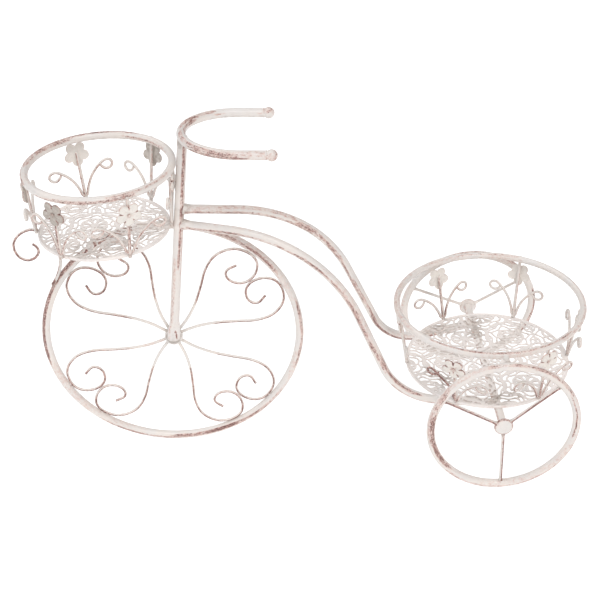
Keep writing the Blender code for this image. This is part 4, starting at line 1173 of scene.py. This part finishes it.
for basket, sets, seed in (("front", front_sets, 200), ("rear", rear_sets, 300)):
    for name, number, foot, foot_end, tip, top, up, face, across, flower_h, left_loop, right_loop, out in sets:
        rub = 1.0 if name.startswith("front") or name == "back_left" else 0.5
        stem = Shape()
        path = resample([foot_end, tip], 0.0026)
        run = np.linspace(0, 1, len(path))
        radius = STEM_R * 1.04 * (1 + 0.18 * np.exp(-run * 18))
        stem.sweep(path, radius, 18, ref=face)
        for k, loop in enumerate((left_loop, right_loop)):
            points = smooth_path(tendril(loop), 7)
            path = np.array([foot + across * p[0] + up * p[1] for p in points])
            run = np.linspace(0, 1, len(path))
            dark = 1.0 if basket == "rear" and name == "front_left" and k == 0 else 0.0
            if dark:
                a, b = int(len(path) * 0.22), int(len(path) * 0.56)
                t = np.linspace(0, 1, b - a)[:, None]
                path[a:b] += (0.75 * np.sin(pi * t) ** 0.5) * (path[a] * (1 - t) + path[b - 1] * t - path[a:b])
                for _ in range(6):
                    path[1:-1] = 0.25 * path[:-2] + 0.5 * path[1:-1] + 0.25 * path[2:]
                # points along this tendril for a painted shade on its lower side
                under = path[::5].copy()
            radius = TENDRIL_R * (1.12 - 0.20 * dark) * (1 - 0.12 * smooth01((run - 0.9) / 0.1))
            stem.sweep(path, radius, 16, ref=face,
                       extra=0.70 * dark + 0.20 * rub * smooth01((run - 0.60) / 0.2) + 0.25 * smooth01((run - 0.95) / 0.05))
        stem.bead(np.array(foot + up * 0.0018), 0.0031, np.array(up), 0.9, number, 14)
        make(f"{basket}_stem_{name}_painted", stem, [f"{basket}_stem_{name}"], "wire_paint", WIRE_PAINT,
             seed=seed + number, general=0.40, streaks=(
                 (side(1.0 if number % 2 else -1.0, -0.3, 50), 30, 0.90 * rub ** 0.4, (foot + up * 0.01, head_of(foot, tip)), 0.006),
                 (side(-0.3, -1.0, 56), 34, 0.74 * rub, None, None))
             # painted shade along the lower side of the dark tendril
             + (((side(0.3, -1.0, 50), 60, 1.3, under, 0.003),) if (basket, name) == ("rear", "front_left") else ()))
        centre = foot + up * (flower_h / up.z) + face * (STEM_R + GAP + FLOWER_T + 0.0003)
        matrix = Matrix.Translation(centre) @ Matrix((across, up, face)).transposed().to_4x4()
        # painted shadow: these flowers are darkened all over, as if lying in shade
        flower_shadow = {("front", "front_left"): 0.80, ("front", "back_right"): 0.62, ("front", "left"): 0.22}.get((basket, name), 0.0)
        make(f"{basket}_flower_{name}_painted",
             flower_shape(matrix, seed + number, {("rear", "front_left"): 2.0, ("front", "front_left"): 1.4}.get((basket, name), 1.0)),
             [f"{basket}_flower_{name}"], "flower_paint", FLOWER_PAINT, seed=seed + 40 + number,
             general=0.10 if name.startswith("back") else 0.24, soil=flower_shadow, smooth=60)

# ---------------------------------------------------------------- strut and curl
path = smooth_path([(x, STRUT_Y, z) for x, z in STRUT], 8)
strut = Shape().sweep(path, STEM_R * 1.04, 18, ref=(0, -1, 0), cut=0.0005)
strut.bead(path[-1] + np.array((0.0012, 0.0, -0.0004)), 0.0028, (0.8, 0, -0.6), 0.6, 7, 14)
make("front_strut_painted", strut, ["front_strut"], "wire_paint", WIRE_PAINT, seed=121, general=0.5,
     streaks=((side(-1.0, -0.1, 48), 36, 0.80, None, None), (side(0.0, -1.0, 0), 89, 0.90, path[-3:], 0.006)))
path = smooth_path([(x, CURL_Y, z) for x, z in CURL], 8)
path[:, 0] = np.maximum(path[:, 0], -0.21362)
run = np.linspace(0, 1, len(path))
make("front_curl_painted", Shape().sweep(path, WIRE_R * (1 - 0.08 * run), 16, ref=(0, -1, 0),
                                         extra=0.35 + 0.45 * smooth01((run - 0.5) / 0.3)),
     ["front_curl"], "wire_paint", WIRE_PAINT, seed=122, general=0.45, streaks=((side(0.2, -1.0, 45), 60, 0.95, None, None),))

# ---------------------------------------------------------------- floor, light and camera
floor_material = bpy.data.materials.new("pale_floor")
floor_material.use_nodes = True
tree = floor_material.node_tree
floor_shader = tree.nodes["Principled BSDF"]
floor_shader.inputs["Roughness"].default_value = 0.9
floor_shader.inputs["Specular IOR Level"].default_value = 0.0
floor_shader.inputs["Emission Color"].default_value = (1.0, 1.0, 1.0, 1)
floor_shader.inputs["Emission Strength"].default_value = 0.66
floor_noise = tree.nodes.new("ShaderNodeTexNoise")
floor_noise.inputs["Scale"].default_value = 3.0
floor_mix = tree.nodes.new("ShaderNodeMapRange")
floor_mix.inputs["To Min"].default_value = 0.56
floor_mix.inputs["To Max"].default_value = 0.59
tree.links.new(floor_noise.outputs["Fac"], floor_mix.inputs["Value"])
tree.links.new(floor_mix.outputs["Result"], floor_shader.inputs["Base Color"])
floor_mesh = bpy.data.meshes.new("floor")
floor_mesh.from_pydata([(-9, -9, -0.0002), (9, -9, -0.0002), (9, 9, -0.0002), (-9, 9, -0.0002)], [], [(0, 1, 2, 3)])
floor_mesh.materials.append(floor_material)
floor = bpy.data.objects.new("floor", floor_mesh)
bpy.context.scene.collection.objects.link(floor)

scene = bpy.context.scene
world = bpy.data.worlds.new("studio")
scene.world = world
world.use_nodes = True
world.node_tree.nodes["Background"].inputs["Color"].default_value = (1.0, 1.0, 1.0, 1)
world.node_tree.nodes["Background"].inputs["Strength"].default_value = 0.30
scene.view_settings.view_transform = "Standard"
scene.view_settings.look = "None"
scene.view_settings.exposure = 0.0
scene.view_settings.gamma = 1.0


def skylight(name, place, power, spread, tint=(1.0, 1.0, 1.0)):
    """A broad, even light from far off, shining from this side of the planter."""
    data = bpy.data.lights.new(name, "SUN")
    data.energy = power
    data.angle = radians(spread)
    data.color = tint
    lamp = bpy.data.objects.new(name, data)
    scene.collection.objects.link(lamp)
    lamp.location = place
    lamp.rotation_euler = (-Vector(place)).to_track_quat("-Z", "Y").to_euler()


skylight("key", (0.9, -2.3, 3.3), 1.24, 34)
skylight("front", (0.3, -3.2, 1.5), 0.42, 50)
skylight("back", (-1.0, 1.8, 3.4), 0.88, 50)
skylight("left", (-3.0, -0.8, 2.4), 0.60, 34, (0.84, 0.92, 1.0))

YAW, PITCH, ROLL, FOCAL = radians(-1.46), radians(32.50), radians(-2.49), 1256.2
centre = np.array((0.15219, -1.57852, 1.25153)) + SHIFT
forward = np.array((-sin(YAW) * cos(PITCH), cos(YAW) * cos(PITCH), -sin(PITCH)))
right = np.array((cos(YAW), sin(YAW), 0.0))
up = np.cross(right, forward)
r_axis = cos(ROLL) * right + sin(ROLL) * up
u_axis = -sin(ROLL) * right + cos(ROLL) * up
camera_data = bpy.data.cameras.new("camera")
camera_data.sensor_width = 36
camera_data.lens = FOCAL / 600 * 36
camera_data.clip_end = 60
camera = bpy.data.objects.new("camera", camera_data)
scene.collection.objects.link(camera)
pose = np.eye(4)
pose[:3, 0], pose[:3, 1], pose[:3, 2], pose[:3, 3] = r_axis, u_axis, -forward, centre
camera.matrix_world = Matrix(pose.tolist())
scene.camera = camera
